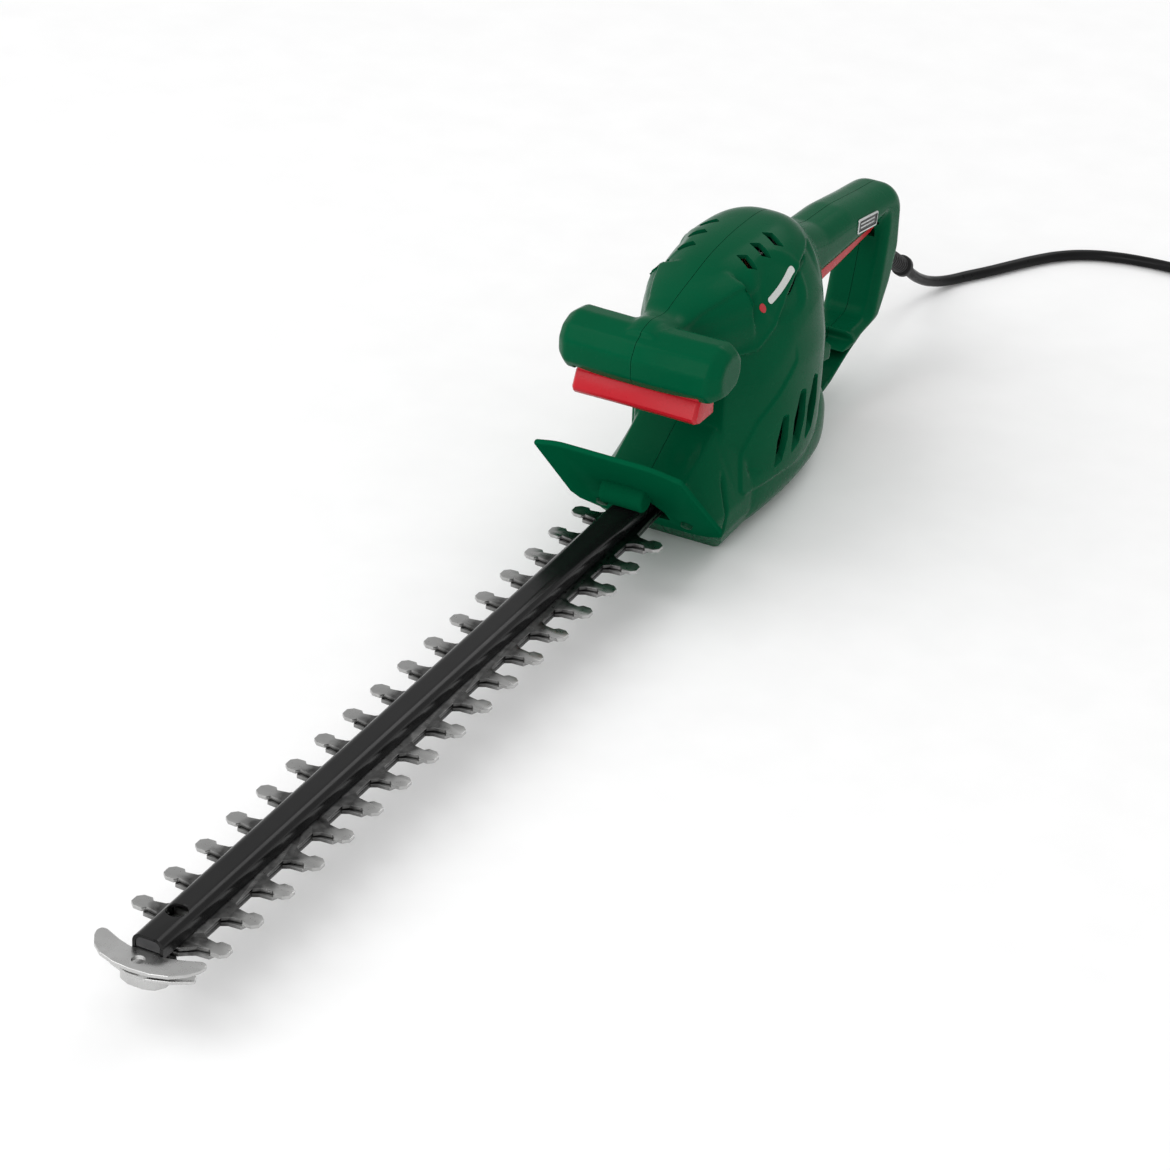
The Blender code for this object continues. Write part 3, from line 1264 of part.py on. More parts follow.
# The cord's route from the boot to the plug, in millimetres in the datum's frame.
CORD_ROUTE = (
    (0.4, 384.0, -7.8),
    (1.4, 398.0, -16.8),
    (3.6, 412.0, -23.4),
    (8.0, 427.0, -27.6),
    (15.0, 441.0, -28.5),
    (24.0, 455.0, -28.5),
    (33.0, 470.5, -28.5),
    (42.5, 486.0, -28.5),
    (53.0, 499.5, -28.5),
    (67.0, 510.5, -28.5),
    (84.0, 517.5, -28.5),
    (102.0, 521.0, -28.5),
    (121.0, 522.0, -28.3),
    (140.0, 521.0, -27.2),
    (158.0, 519.5, -24.8),
    (174.0, 518.3, -22.3),
    (186.0, 517.6, -21.1),
)
PLUG_START = (198.0, 517.0, -20.7)


def smooth_route(points, spacing):
    """Points at even spacing along a smooth curve through the given ones (Catmull-Rom)."""
    path = [Vector(p) for p in points]
    path = [path[0] * 2 - path[1], *path, path[-1] * 2 - path[-2]]
    fine = []
    for a, b, c, d in zip(path, path[1:], path[2:], path[3:]):
        for i in range(12):
            t = i / 12
            fine.append(
                0.5 * (2 * b + (c - a) * t + (2 * a - 5 * b + 4 * c - d) * t * t + (3 * b - a - 3 * c + d) * t**3)
            )
    fine.append(path[-2])
    total = sum((q - p).length for p, q in zip(fine, fine[1:]))
    count = max(2, round(total / spacing))
    found = [fine[0]]
    step = total / count
    gone = 0.0
    for p, q in zip(fine, fine[1:]):
        length = (q - p).length
        while gone + length >= step * len(found) and len(found) < count:
            found.append(p.lerp(q, (step * len(found) - gone) / length))
        gone += length
    found.append(fine[-1])
    return found


def cord(datum):
    """The mains lead, from the boot's end down to the ground and along it to the plug."""
    start = boot_point(BOOT_LENGTH + GAP)
    lead = start + boot_direction() * 6 * MM
    ends = [Vector(p) * MM for p in CORD_ROUTE]
    stop = Vector(PLUG_START) * MM - Vector((GAP, 0, 0))
    points = smooth_route([start, lead, *ends, stop], 2.3 * CORD_D)
    curve = bpy.data.curves.new("cord", "CURVE")
    curve.dimensions = "3D"
    curve.bevel_depth = CORD_D / 2
    curve.bevel_resolution = 2
    curve.use_fill_caps = True
    spline = curve.splines.new("POLY")
    spline.points.add(len(points) - 1)
    for point, place in zip(spline.points, points):
        point.co = (*place, 1.0)
    obj = bpy.data.objects.new("cord", curve)
    CUTTERS.objects.link(obj)
    piece(as_mesh(obj, weld=1e-6), "mains_cord", "black_rubber", datum)


def plug(datum):
    """The moulded two-pin plug, lying flat on the ground at the end of the lead."""
    x0, y0, z0 = (value * MM for value in PLUG_START)
    rows = ((0, 4.6, 4.6), (14, 5.6, 5.6), (22, 9, 8.5), (30, 15, 10.6), (44, 18, 11), (58, 18.5, 11), (62, 17.5, 10))
    rings = []
    for along, half_y, half_z in rows:
        ring = []
        for i in range(20):
            turn = 2 * math.pi * (i + 0.5) / 20
            power = 2.0 if along < 20 else 3.2
            across = math.copysign(abs(math.cos(turn)) ** (2 / power), math.cos(turn))
            up = math.copysign(abs(math.sin(turn)) ** (2 / power), math.sin(turn))
            ring.append((x0 + along * MM * PLUG_LENGTH / (62 * MM), y0 + half_y * MM * across, z0 + half_z * MM * up))
        rings.append(ring)
    piece(loft("plug", rings), "plug_body", "black_rubber", datum)
    for i, side in enumerate((-1, 1), 1):
        start = x0 + PLUG_LENGTH + GAP
        profile = [(0, 19 * MM), (1.6 * MM, 19 * MM), (2.4 * MM, 17.5 * MM), (2.4 * MM, 0), (0, 0)]
        pin = turned("pin", profile, (start, y0 + side * 9.5 * MM, z0), (1, 0, 0), 12)
        piece(pin, f"plug_pin_{i}", "brass", datum)


def build():
    """Make every piece of the trimmer."""
    start_scene()
    datum = empty("trimmer_datum", DATUM)
    housing_halves(datum)
    housing_screws(datum)
    hand_guard(datum)
    front_switch_bar(datum)
    rear_trigger(datum)
    guide_bar(datum)
    tip_guard(datum)
    blades(datum)
    bar_fasteners(datum)
    base_plate(datum)
    drive(datum)
    gear_plate(datum)
    motor(datum)
    electrics(datum)
    cord_boot(datum)
    cord(datum)
    plug(datum)


build()
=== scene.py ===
"""Looks of a mains hedge trimmer with two handles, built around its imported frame.

Every length inside the classes is in millimetres in the trimmer's own datum: x across with the left side
positive, y back from the blades to the rear handle, z up from the plane between the two blades. Datum turns
them into metres in the shared frame.
"""

import logging
import math
from dataclasses import dataclass
from enum import Enum

import bpy
import numpy as np
from mathutils import Matrix, Vector


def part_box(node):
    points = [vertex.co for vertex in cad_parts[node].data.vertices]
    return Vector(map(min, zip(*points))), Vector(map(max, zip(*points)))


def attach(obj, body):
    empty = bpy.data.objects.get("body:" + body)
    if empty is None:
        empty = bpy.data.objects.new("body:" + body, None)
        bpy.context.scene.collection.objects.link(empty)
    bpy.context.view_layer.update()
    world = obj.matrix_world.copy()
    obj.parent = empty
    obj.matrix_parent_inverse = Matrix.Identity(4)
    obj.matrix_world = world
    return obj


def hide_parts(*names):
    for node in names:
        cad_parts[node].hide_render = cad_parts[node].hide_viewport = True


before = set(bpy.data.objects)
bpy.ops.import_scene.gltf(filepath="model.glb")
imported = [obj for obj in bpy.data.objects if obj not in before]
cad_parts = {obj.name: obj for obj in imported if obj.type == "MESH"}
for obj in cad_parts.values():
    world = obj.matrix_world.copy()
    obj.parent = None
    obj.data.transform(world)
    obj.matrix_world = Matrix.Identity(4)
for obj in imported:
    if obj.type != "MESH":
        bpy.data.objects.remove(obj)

logging.basicConfig(level=logging.INFO, format="%(message)s")
log = logging.getLogger("hedge_trimmer")

MM = 0.001
PROUD = 0.18  # half of the gap shown between the two housing halves, in millimetres
THROUGH_CUT = 0.0001  # rim radius of the plain cutters, in millimetres: none that shows
COAT_ROUGHNESS = 0.12
PAINTED_REFLECTION_RAGGED = 0.008  # how far the painted dark reflection of the bar at the teeth's roots reaches in and out, in metres


class Body(Enum):
    """Bodies of the frame that new pieces ride on."""

    FRAME = "frame"
    UPPER_CUTTER = "upper_cutter"
    LOWER_CUTTER = "lower_cutter"
    SWITCH_BAR = "switch_bar"
    TRIGGER = "trigger"


class Slot(Enum):
    """Material slots of the record."""

    GREEN = "green_plastic"
    RED = "red_plastic"
    PAINT = "black_paint"
    GROUND = "ground_steel"
    ZINC = "zinc_steel"
    CORE = "core_steel"
    COPPER = "copper"
    CARBON = "carbon"
    CAST = "cast_aluminium"
    BLACK = "black_plastic"
    CREAM = "cream_plastic"
    RUBBER = "black_rubber"
    BRASS = "brass"


class Axis(Enum):
    """The direction in which a flat outline is given its thickness."""

    X = 0
    Y = 1
    Z = 2


# -------------------------------------------------------------------------------------------------- finishes


@dataclass(frozen=True)
class Finish:
    """A surface finish: two colours that drift into each other, a roughness range, a fine grain, wear and,
    for the blades, a painted dark reflection and shade of the black bar near the middle line.

    Colours are linear. Scales are in cycles a metre. The grain is stretched along `grain_stretch`.
    """

    name: str
    colour: tuple[float, float, float]
    drift: tuple[float, float, float]
    roughness: tuple[float, float]
    metallic: float = 0.0
    drift_scale: float = 28.0
    grain_scale: float = 1500.0
    grain_stretch: tuple[float, float, float] = (1.0, 1.0, 1.0)
    grain: float = 0.12
    grain_height: float = 0.0001
    coat: float = 0.0
    wear: float = 0.0
    wear_colour: tuple[float, float, float] = (0.5, 0.5, 0.5)
    painted_root_reflection_colour: tuple[float, float, float] | None = None
    painted_root_reflection_span: tuple[float, float] = (0.012, 0.022)
    specular: float = 0.5

    def material(self) -> bpy.types.Material:
        """Make the finish as a node material, once.

        Returns:
            The material, read on Object coordinates only.
        """
        known = bpy.data.materials.get(self.name)
        if known is not None:
            return known
        made = bpy.data.materials.new(self.name)
        made.use_nodes = True
        made.diffuse_color = (*self.colour, 1.0)
        tree = made.node_tree
        tree.nodes.clear()
        shader = tree.nodes.new("ShaderNodeBsdfPrincipled")
        output = tree.nodes.new("ShaderNodeOutputMaterial")
        tree.links.new(shader.outputs["BSDF"], output.inputs["Surface"])
        shader.inputs["Metallic"].default_value = self.metallic
        shader.inputs["Coat Weight"].default_value = self.coat
        shader.inputs["Coat Roughness"].default_value = COAT_ROUGHNESS
        shader.inputs["Specular IOR Level"].default_value = self.specular
        place = tree.nodes.new("ShaderNodeTexCoord").outputs["Object"]
        cloud = self._noise(tree, place, self.drift_scale, 5.0)
        colour = self._mix(tree, self._ramp(tree, cloud, 0.34, 0.68), self.colour, self.drift)
        # Painted dark reflection and shade of the black bar, laid on the blades near the middle line.
        if self.painted_root_reflection_colour is not None:
            colour = self._painted_root_reflection(tree, place, colour)
        if self.wear > 0:
            colour = self._worn(tree, place, colour)
        tree.links.new(colour, shader.inputs["Base Color"])
        smear = self._noise(tree, place, self.drift_scale * 5.3, 6.0)
        rough = tree.nodes.new("ShaderNodeMapRange")
        rough.inputs["From Min"].default_value = 0.3
        rough.inputs["From Max"].default_value = 0.7
        rough.inputs["To Min"].default_value = self.roughness[0]
        rough.inputs["To Max"].default_value = self.roughness[1]
        tree.links.new(smear, rough.inputs["Value"])
        tree.links.new(rough.outputs["Result"], shader.inputs["Roughness"])
        stretch = tree.nodes.new("ShaderNodeMapping")
        stretch.inputs["Scale"].default_value = self.grain_stretch
        tree.links.new(place, stretch.inputs["Vector"])
        grain = self._noise(tree, stretch.outputs["Vector"], self.grain_scale, 3.0)
        bump = tree.nodes.new("ShaderNodeBump")
        bump.inputs["Strength"].default_value = self.grain
        bump.inputs["Distance"].default_value = self.grain_height
        tree.links.new(grain, bump.inputs["Height"])
        tree.links.new(bump.outputs["Normal"], shader.inputs["Normal"])
        return made

    def dress(self, obj: bpy.types.Object) -> bpy.types.Object:
        """Give an object this finish alone and return it."""
        obj.data.materials.clear()
        obj.data.materials.append(self.material())
        return obj

    @staticmethod
    def _noise(
        tree: bpy.types.NodeTree, place: bpy.types.NodeSocket, scale: float, detail: float
    ) -> bpy.types.NodeSocket:
        """Add a noise texture and return its value."""
        noise = tree.nodes.new("ShaderNodeTexNoise")
        noise.inputs["Scale"].default_value = scale
        noise.inputs["Detail"].default_value = detail
        tree.links.new(place, noise.inputs["Vector"])
        return noise.outputs["Fac"]

    @staticmethod
    def _ramp(
        tree: bpy.types.NodeTree, value: bpy.types.NodeSocket, low: float, high: float
    ) -> bpy.types.NodeSocket:
        """Stretch a value so that low becomes 0 and high becomes 1, and return it."""
        span = tree.nodes.new("ShaderNodeMapRange")
        span.inputs["From Min"].default_value = low
        span.inputs["From Max"].default_value = high
        tree.links.new(value, span.inputs["Value"])
        return span.outputs["Result"]

    @staticmethod
    def _mix(
        tree: bpy.types.NodeTree,
        share: bpy.types.NodeSocket,
        first: tuple[float, float, float] | bpy.types.NodeSocket,
        second: tuple[float, float, float],
    ) -> bpy.types.NodeSocket:
        """Mix two colours by a share and return the result."""
        mix = tree.nodes.new("ShaderNodeMix")
        mix.data_type = "RGBA"
        tree.links.new(share, mix.inputs["Factor"])
        if isinstance(first, tuple):
            mix.inputs["A"].default_value = (*first, 1.0)
        else:
            tree.links.new(first, mix.inputs["A"])
        mix.inputs["B"].default_value = (*second, 1.0)
        return mix.outputs["Result"]

    def _painted_root_reflection(
        self, tree: bpy.types.NodeTree, place: bpy.types.NodeSocket, colour: bpy.types.NodeSocket
    ) -> bpy.types.NodeSocket:
        """Darken the colour towards the middle line: a painted dark reflection and shade of the black bar on
        the roots of the teeth.
        """
        parts = tree.nodes.new("ShaderNodeSeparateXYZ")
        tree.links.new(place, parts.inputs["Vector"])
        away = tree.nodes.new("ShaderNodeMath")
        away.operation = "ABSOLUTE"
        tree.links.new(parts.outputs["X"], away.inputs[0])
        ragged = tree.nodes.new("ShaderNodeMath")
        ragged.operation = "MULTIPLY_ADD"
        ragged.inputs[1].default_value = -PAINTED_REFLECTION_RAGGED
        tree.links.new(self._noise(tree, place, 180.0, 4.0), ragged.inputs[0])
        tree.links.new(away.outputs["Value"], ragged.inputs[2])
        near, far = (reach - PAINTED_REFLECTION_RAGGED / 2 for reach in self.painted_root_reflection_span)
        share = self._ramp(tree, ragged.outputs["Value"], far, near)
        return self._mix(tree, share, colour, self.painted_root_reflection_colour)

    def _worn(
        self, tree: bpy.types.NodeTree, place: bpy.types.NodeSocket, colour: bpy.types.NodeSocket
    ) -> bpy.types.NodeSocket:
        """Show the wear colour along convex edges, broken up by a noise."""
        edge = tree.nodes.new("ShaderNodeNewGeometry").outputs["Pointiness"]
        edge = self._ramp(tree, edge, 0.515, 0.58)
        broken = tree.nodes.new("ShaderNodeMath")
        broken.operation = "MULTIPLY"
        tree.links.new(edge, broken.inputs[0])
        tree.links.new(self._noise(tree, place, 240.0, 6.0), broken.inputs[1])
        share = tree.nodes.new("ShaderNodeMath")
        share.operation = "MULTIPLY"
        share.use_clamp = True
        share.inputs[1].default_value = self.wear
        tree.links.new(broken.outputs["Value"], share.inputs[0])
        return self._mix(tree, share.outputs["Value"], colour, self.wear_colour)


GREEN_SHELL = Finish(
    "moulded_green", (0.0005, 0.080, 0.0325), (0.0005, 0.074, 0.0300), (0.20, 0.30),
    grain=0.08, wear=0.35, wear_colour=(0.02, 0.15, 0.08), specular=0.03,
)
GREEN_GUARD = Finish(
    "moulded_green_guard", (0.0005, 0.078, 0.0320), (0.0005, 0.072, 0.0295), (0.24, 0.34),
    grain=0.08, wear=0.35, wear_colour=(0.02, 0.15, 0.08), specular=0.0,
)
GREEN_PAINTED = Finish(
    "green_painted_screw", (0.0012, 0.05, 0.021), (0.001, 0.04, 0.017), (0.34, 0.46),
    grain_scale=2200.0, specular=0.05,
)
RED_SWITCH = Finish(
    "moulded_red", (0.50, 0.011, 0.021), (0.44, 0.010, 0.018), (0.24, 0.34),
    grain=0.10, wear=0.4, wear_colour=(0.70, 0.14, 0.14), specular=0.20,
)
BAR_PAINT = Finish(
    "black_enamel", (0.0045, 0.0045, 0.0047), (0.0065, 0.0065, 0.0066), (0.16, 0.26),
    grain_scale=650.0, grain=0.08, wear=0.2, wear_colour=(0.05, 0.05, 0.05), specular=0.20,
)
# Its near-black root colour is a painted dark reflection and shade of the black bar over the teeth's roots.
TOOTH_STEEL = Finish(
    "ground_tooth_steel", (0.35, 0.35, 0.346), (0.29, 0.29, 0.286), (0.24, 0.40), metallic=1.0,
    drift_scale=60.0, grain_scale=900.0, grain_stretch=(0.25, 3.0, 1.0), grain=0.25,
    wear=0.9, wear_colour=(0.80, 0.80, 0.79), painted_root_reflection_colour=(0.012, 0.012, 0.012), painted_root_reflection_span=(0.0155, 0.0215),
)
# A darker copy of the tooth steel: painted shade for the lower blade, which lies under the upper blade and
# the bar. Its root colour is the same painted dark reflection of the bar.
SHADED_LOWER_STEEL = Finish(
    "ground_lower_steel_painted_shade", (0.17, 0.17, 0.168), (0.11, 0.11, 0.108), (0.26, 0.42), metallic=1.0,
    drift_scale=60.0, grain_scale=900.0, grain_stretch=(0.25, 3.0, 1.0), grain=0.25,
    wear=0.9, wear_colour=(0.60, 0.60, 0.59), painted_root_reflection_colour=(0.012, 0.012, 0.012), painted_root_reflection_span=(0.0140, 0.0200),
)
PRESSED_STEEL = Finish(
    "pressed_bright_steel", (0.56, 0.56, 0.555), (0.47, 0.47, 0.465), (0.22, 0.36), metallic=1.0,
    drift_scale=45.0, grain_scale=700.0, grain_stretch=(3.0, 0.3, 1.0), grain=0.22,
    wear=0.5, wear_colour=(0.85, 0.85, 0.84),
)
BOOT_RUBBER = Finish(
    "soft_black_rubber", (0.011, 0.011, 0.0115), (0.016, 0.016, 0.0165), (0.40, 0.54),
    grain_scale=1900.0, grain=0.25, specular=0.15,
)
CORD_JACKET = Finish(
    "cord_jacket", (0.006, 0.006, 0.0062), (0.009, 0.009, 0.0092), (0.26, 0.36),
    grain_scale=1200.0, grain=0.12, specular=0.12,
)
PALE_PRINT = Finish(
    "pale_print", (0.62, 0.64, 0.62), (0.54, 0.56, 0.54), (0.34, 0.46), grain_scale=1800.0, grain=0.08,
)
RED_PRINT = Finish(
    "red_print", (0.46, 0.012, 0.02), (0.40, 0.010, 0.018), (0.34, 0.46), grain_scale=1800.0, grain=0.08,
)
SILVER_RIM = Finish(
    "silver_label_rim", (0.55, 0.57, 0.56), (0.45, 0.47, 0.46), (0.25, 0.38), metallic=0.9,
    grain_scale=1600.0, grain=0.10,
)
INNER_FINISHES = {
    Slot.GREEN: GREEN_SHELL,
    Slot.RED: RED_SWITCH,
    Slot.PAINT: BAR_PAINT,
    Slot.GROUND: PRESSED_STEEL,
    Slot.ZINC: Finish(
        "zinc_plated_steel", (0.56, 0.56, 0.53), (0.44, 0.45, 0.44), (0.28, 0.46), metallic=1.0,
        drift_scale=90.0, grain_scale=1300.0, grain=0.2,
    ),
    Slot.CORE: Finish(
        "laminated_core_steel", (0.17, 0.17, 0.18), (0.10, 0.10, 0.105), (0.40, 0.60), metallic=0.9,
        grain_scale=60.0, grain_stretch=(0.05, 0.05, 22.0), grain=0.6, grain_height=0.0004,
    ),
    Slot.COPPER: Finish(
        "enamelled_copper", (0.50, 0.19, 0.06), (0.36, 0.12, 0.035), (0.26, 0.42), metallic=0.85,
        grain_scale=70.0, grain_stretch=(0.1, 0.1, 16.0), grain=0.7, grain_height=0.0005, coat=0.4,
    ),
    Slot.CARBON: Finish(
        "pressed_carbon", (0.028, 0.028, 0.030), (0.045, 0.045, 0.048), (0.55, 0.75),
        grain_scale=2400.0, grain=0.35,
    ),
    Slot.CAST: Finish(
        "sand_cast_aluminium", (0.50, 0.50, 0.50), (0.38, 0.38, 0.385), (0.42, 0.62), metallic=0.95,
        drift_scale=70.0, grain_scale=800.0, grain=0.5, grain_height=0.0003,
    ),
    Slot.BLACK: Finish(
        "filled_black_plastic", (0.020, 0.020, 0.021), (0.030, 0.030, 0.031), (0.42, 0.56),
        grain_scale=1700.0, grain=0.2,
    ),
    Slot.CREAM: Finish(
        "cream_nylon", (0.58, 0.53, 0.39), (0.50, 0.45, 0.32), (0.40, 0.54), grain_scale=1500.0, grain=0.15,
    ),
    Slot.RUBBER: BOOT_RUBBER,
    Slot.BRASS: Finish(
        "turned_brass", (0.62, 0.44, 0.16), (0.50, 0.34, 0.11), (0.20, 0.36), metallic=1.0,
        grain_scale=1500.0, grain_stretch=(4.0, 0.4, 0.4), grain=0.2,
    ),
}


# ---------------------------------------------------------------------------------------------------- meshes


@dataclass(frozen=True)
class Datum:
    """Where the trimmer's own datum lies in the shared frame, in metres."""

    origin: np.ndarray

    @classmethod
    def of_frame(cls, handle_rear: float, belly: float) -> "Datum":
        """Find the datum from the housing's box.

        Args:
            handle_rear: how far behind the datum the housing ends, in millimetres.
            belly: height of the flat belly in the datum, in millimetres.

        Returns:
            The datum.
        """
        low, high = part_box("housing_left")
        return cls(np.array([0.0, high.y - handle_rear * MM, low.z - belly * MM]))

    def metres(self, points: np.ndarray) -> np.ndarray:
        """Points of the datum, in millimetres, as points of the shared frame, in metres."""
        return np.asarray(points, float) * MM + self.origin


def ease(value: np.ndarray, low: float, high: float) -> np.ndarray:
    """A smooth step: 0 below low, 1 above high, t*t*(3-2t) between them, with t the share of the way."""
    t = np.clip((value - low) / (high - low), 0.0, 1.0)
    return t * t * (3.0 - 2.0 * t)


def through(rows: np.ndarray, count: int) -> np.ndarray:
    """Rows of numbers read along a Catmull-Rom curve through the given rows.

    The curve between rows b and c is half of 2b + (c-a)t + (2a-5b+4c-d)t^2 + (3b-a-3c+d)t^3, with a before b
    and d after c; the row before the first and the one after the last repeat the end steps.

    Args:
        rows: the given rows, one for each place.
        count: how many rows to return.

    Returns:
        An array of count rows.
    """
    rows = np.asarray(rows, float)
    padded = np.vstack([2 * rows[0] - rows[1], rows, 2 * rows[-1] - rows[-2]])
    place = np.linspace(0.0, len(rows) - 1.0, count)
    i = np.clip(place.astype(int), 0, len(rows) - 2)
    t = (place - i)[:, None]
    a, b, c, d = padded[i], padded[i + 1], padded[i + 2], padded[i + 3]
    return 0.5 * (2 * b + (c - a) * t + (2 * a - 5 * b + 4 * c - d) * t**2 + (3 * b - a - 3 * c + d) * t**3)


def rounded(corners: np.ndarray, radii: np.ndarray | float, steps: int = 8) -> np.ndarray:
    """A closed outline whose corners become arcs.

    Each arc's centre lies on the corner's bisector, radius / sin(half angle) from the corner, and the arc
    turns evenly from one tangent point to the other.

    Args:
        corners: the outline's corners, in order.
        radii: one radius, or one for each corner.
        steps: how many segments each arc has.

    Returns:
        The outline's points, steps + 1 for each corner.
    """
    corners = np.asarray(corners, float)
    before = np.roll(corners, 1, 0) - corners
    after = np.roll(corners, -1, 0) - corners
    lengths = np.linalg.norm(before, axis=1), np.linalg.norm(after, axis=1)
    before, after = before / lengths[0][:, None], after / lengths[1][:, None]
    half = np.arccos(np.clip((before * after).sum(1), -0.99999, 0.99999)) / 2
    reach = np.maximum(np.broadcast_to(radii, len(corners)), 0.02) / np.tan(half)
    reach = np.minimum(reach, 0.48 * np.minimum(*lengths))
    radius = reach * np.tan(half)
    bisector = before + after
    bisector /= np.linalg.norm(bisector, axis=1)[:, None]
    centre = corners + bisector * (radius / np.sin(half))[:, None]
    a = corners + before * reach[:, None] - centre
    b = corners + after * reach[:, None] - centre
    sweep = np.arctan2(a[:, 0] * b[:, 1] - a[:, 1] * b[:, 0], (a * b).sum(1))
    turn = sweep[:, None] * np.linspace(0.0, 1.0, steps + 1)
    x = a[:, :1] * np.cos(turn) - a[:, 1:] * np.sin(turn)
    y = a[:, :1] * np.sin(turn) + a[:, 1:] * np.cos(turn)
    return (centre[:, None, :] + np.stack([x, y], 2)).reshape(-1, 2)


def drawn_in(outline: np.ndarray, depth: float) -> np.ndarray:
    """An anticlockwise outline with each side moved inwards by a depth; corners move on their bisectors."""
    before = outline - np.roll(outline, 1, 0)
    after = np.roll(outline, -1, 0) - outline
    before /= np.maximum(np.linalg.norm(before, axis=1), 1e-9)[:, None]
    after /= np.maximum(np.linalg.norm(after, axis=1), 1e-9)[:, None]
    first = np.stack([-before[:, 1], before[:, 0]], 1)
    second = np.stack([-after[:, 1], after[:, 0]], 1)
    bisector = first + second
    bisector /= np.maximum(np.linalg.norm(bisector, axis=1), 1e-9)[:, None]
    share = np.maximum((bisector * first).sum(1), 0.35)
    return outline + bisector * (depth / share)[:, None]


def evenly(outline: np.ndarray, count: int) -> np.ndarray:
    """A closed outline read at even steps of its length, along straight lines between its points."""
    closed = np.vstack([outline, outline[:1]])
    gone = np.concatenate([[0.0], np.cumsum(np.linalg.norm(np.diff(closed, axis=0), axis=1))])
    place = np.linspace(0.0, gone[-1], count, endpoint=False)
    return np.column_stack([np.interp(place, gone, closed[:, 0]), np.interp(place, gone, closed[:, 1])])


def anticlockwise(outline: np.ndarray) -> np.ndarray:
    """The outline in anticlockwise order, by the sign of its area."""
    outline = np.asarray(outline, float)
    nxt = np.roll(outline, -1, 0)
    area = (outline[:, 0] * nxt[:, 1] - outline[:, 1] * nxt[:, 0]).sum()
    return outline if area > 0 else outline[::-1]


@dataclass
class Shape:
    """A closed surface of rings of points: quads between the rings, and one face on each end."""

    rings: np.ndarray

    def mesh(self, name: str, datum: Datum) -> bpy.types.Object:
        """Put the surface into a new object.

        Args:
            name: the object's name.
            datum: where the trimmer's datum lies.

        Returns:
            The object, at the origin with its place in its mesh, its faces turned outwards.
        """
        rows, columns = self.rings.shape[:2]
        i, j = np.meshgrid(np.arange(rows - 1), np.arange(columns), indexing="ij")
        k = (j + 1) % columns
        quads = np.stack([i * columns + j, i * columns + k, (i + 1) * columns + k, (i + 1) * columns + j], 2)
        faces = quads.reshape(-1, 4).tolist()
        faces += [list(range(columns))[::-1], list(range((rows - 1) * columns, rows * columns))]
        return surface(name, datum.metres(self.rings.reshape(-1, 3)), faces)


def surface(name: str, points: np.ndarray, faces: list[list[int]]) -> bpy.types.Object:
    """Make an object from points and faces, and turn it outwards if its volume comes out negative."""
    mesh = bpy.data.meshes.new(name)
    mesh.from_pydata(points.tolist(), [], faces)
    mesh.update()
    mesh.calc_loop_triangles()
    corners = np.empty(len(mesh.loop_triangles) * 3, np.int32)
    mesh.loop_triangles.foreach_get("vertices", corners)
    a, b, c = (points[corners.reshape(-1, 3)[:, i]] for i in range(3))
    if (np.cross(a, b) * c).sum() < 0:
        mesh.flip_normals()
    obj = bpy.data.objects.new(name, mesh)
    bpy.context.scene.collection.objects.link(obj)
    return obj


def layered(outline: np.ndarray, low: float, high: float, edge: float, axis: Axis, steps: int = 3) -> Shape:
    """A flat outline given thickness, its rims rounded by a quarter circle.

    Ring k of a rim lies edge * (1 - cos t) inside the outline and edge * (1 - sin t) from the face, with t
    even steps of a quarter turn.

    Args:
        outline: points of the outline in the plane across the axis.
        low: where the thickness starts along the axis.
        high: where it ends.
        edge: radius of the rims.
        axis: the direction of the thickness. X takes (y, z) points, Y (x, z), Z (x, y).
        steps: segments in each rim.

    Returns:
        The surface.
    """
    outline = anticlockwise(outline)
    t = np.linspace(math.pi / 2, 0.0, steps + 1)
    inset = np.concatenate([edge * (1 - np.cos(t)), edge * (1 - np.cos(t))[::-1]])
    level = np.concatenate([low + edge * (1 - np.sin(t)), high - edge * (1 - np.sin(t))[::-1]])
    flat = np.stack([drawn_in(outline, depth) for depth in inset])
    along = np.broadcast_to(level[:, None, None], (*flat.shape[:2], 1))
    if axis is Axis.Z:
        return Shape(np.concatenate([flat, along], 2))
    return Shape(np.insert(flat, [axis.value], along, axis=2))


def lathed(profile: np.ndarray, centre: np.ndarray, along: np.ndarray, count: int = 48) -> Shape:
    """A surface of revolution: each (radius, distance) pair becomes a circle round the axis.

    Args:
        profile: pairs of radius and distance along the axis; the end radii may be small but not zero.
        centre: the axis's starting point.
        along: the axis's direction.
        count: points in each circle.

    Returns:
        The surface.
    """
    along = np.asarray(along, float) / np.linalg.norm(along)
    aside = np.cross(along, [0.0, 0.0, 1.0] if abs(along[2]) < 0.9 else [1.0, 0.0, 0.0])
    aside /= np.linalg.norm(aside)
    other = np.cross(along, aside)
    turn = np.linspace(0.0, 2 * math.pi, count, endpoint=False)
    wheel = np.cos(turn)[:, None] * aside + np.sin(turn)[:, None] * other
    radius, distance = np.asarray(profile, float).T[:, :, None, None]
    return Shape(np.asarray(centre, float) + distance * along + radius * wheel)


def block(low: tuple[float, float, float], high: tuple[float, float, float]) -> Shape:
    """A plain box between two corners, used only to cut."""
    flat = np.array([(low[0], low[1]), (high[0], low[1]), (high[0], high[1]), (low[0], high[1])])
    rings = [np.column_stack([flat, np.full(4, z)]) for z in (low[2], high[2])]
    return Shape(np.stack(rings))


def settled(obj: bpy.types.Object) -> bpy.types.Object:
    """Apply an object's modifiers to its mesh and return it."""
    graph = bpy.context.evaluated_depsgraph_get()
    made = bpy.data.meshes.new_from_object(obj.evaluated_get(graph))
    obj.modifiers.clear()
    old, obj.data = obj.data, made
    bpy.data.meshes.remove(old)
    return obj


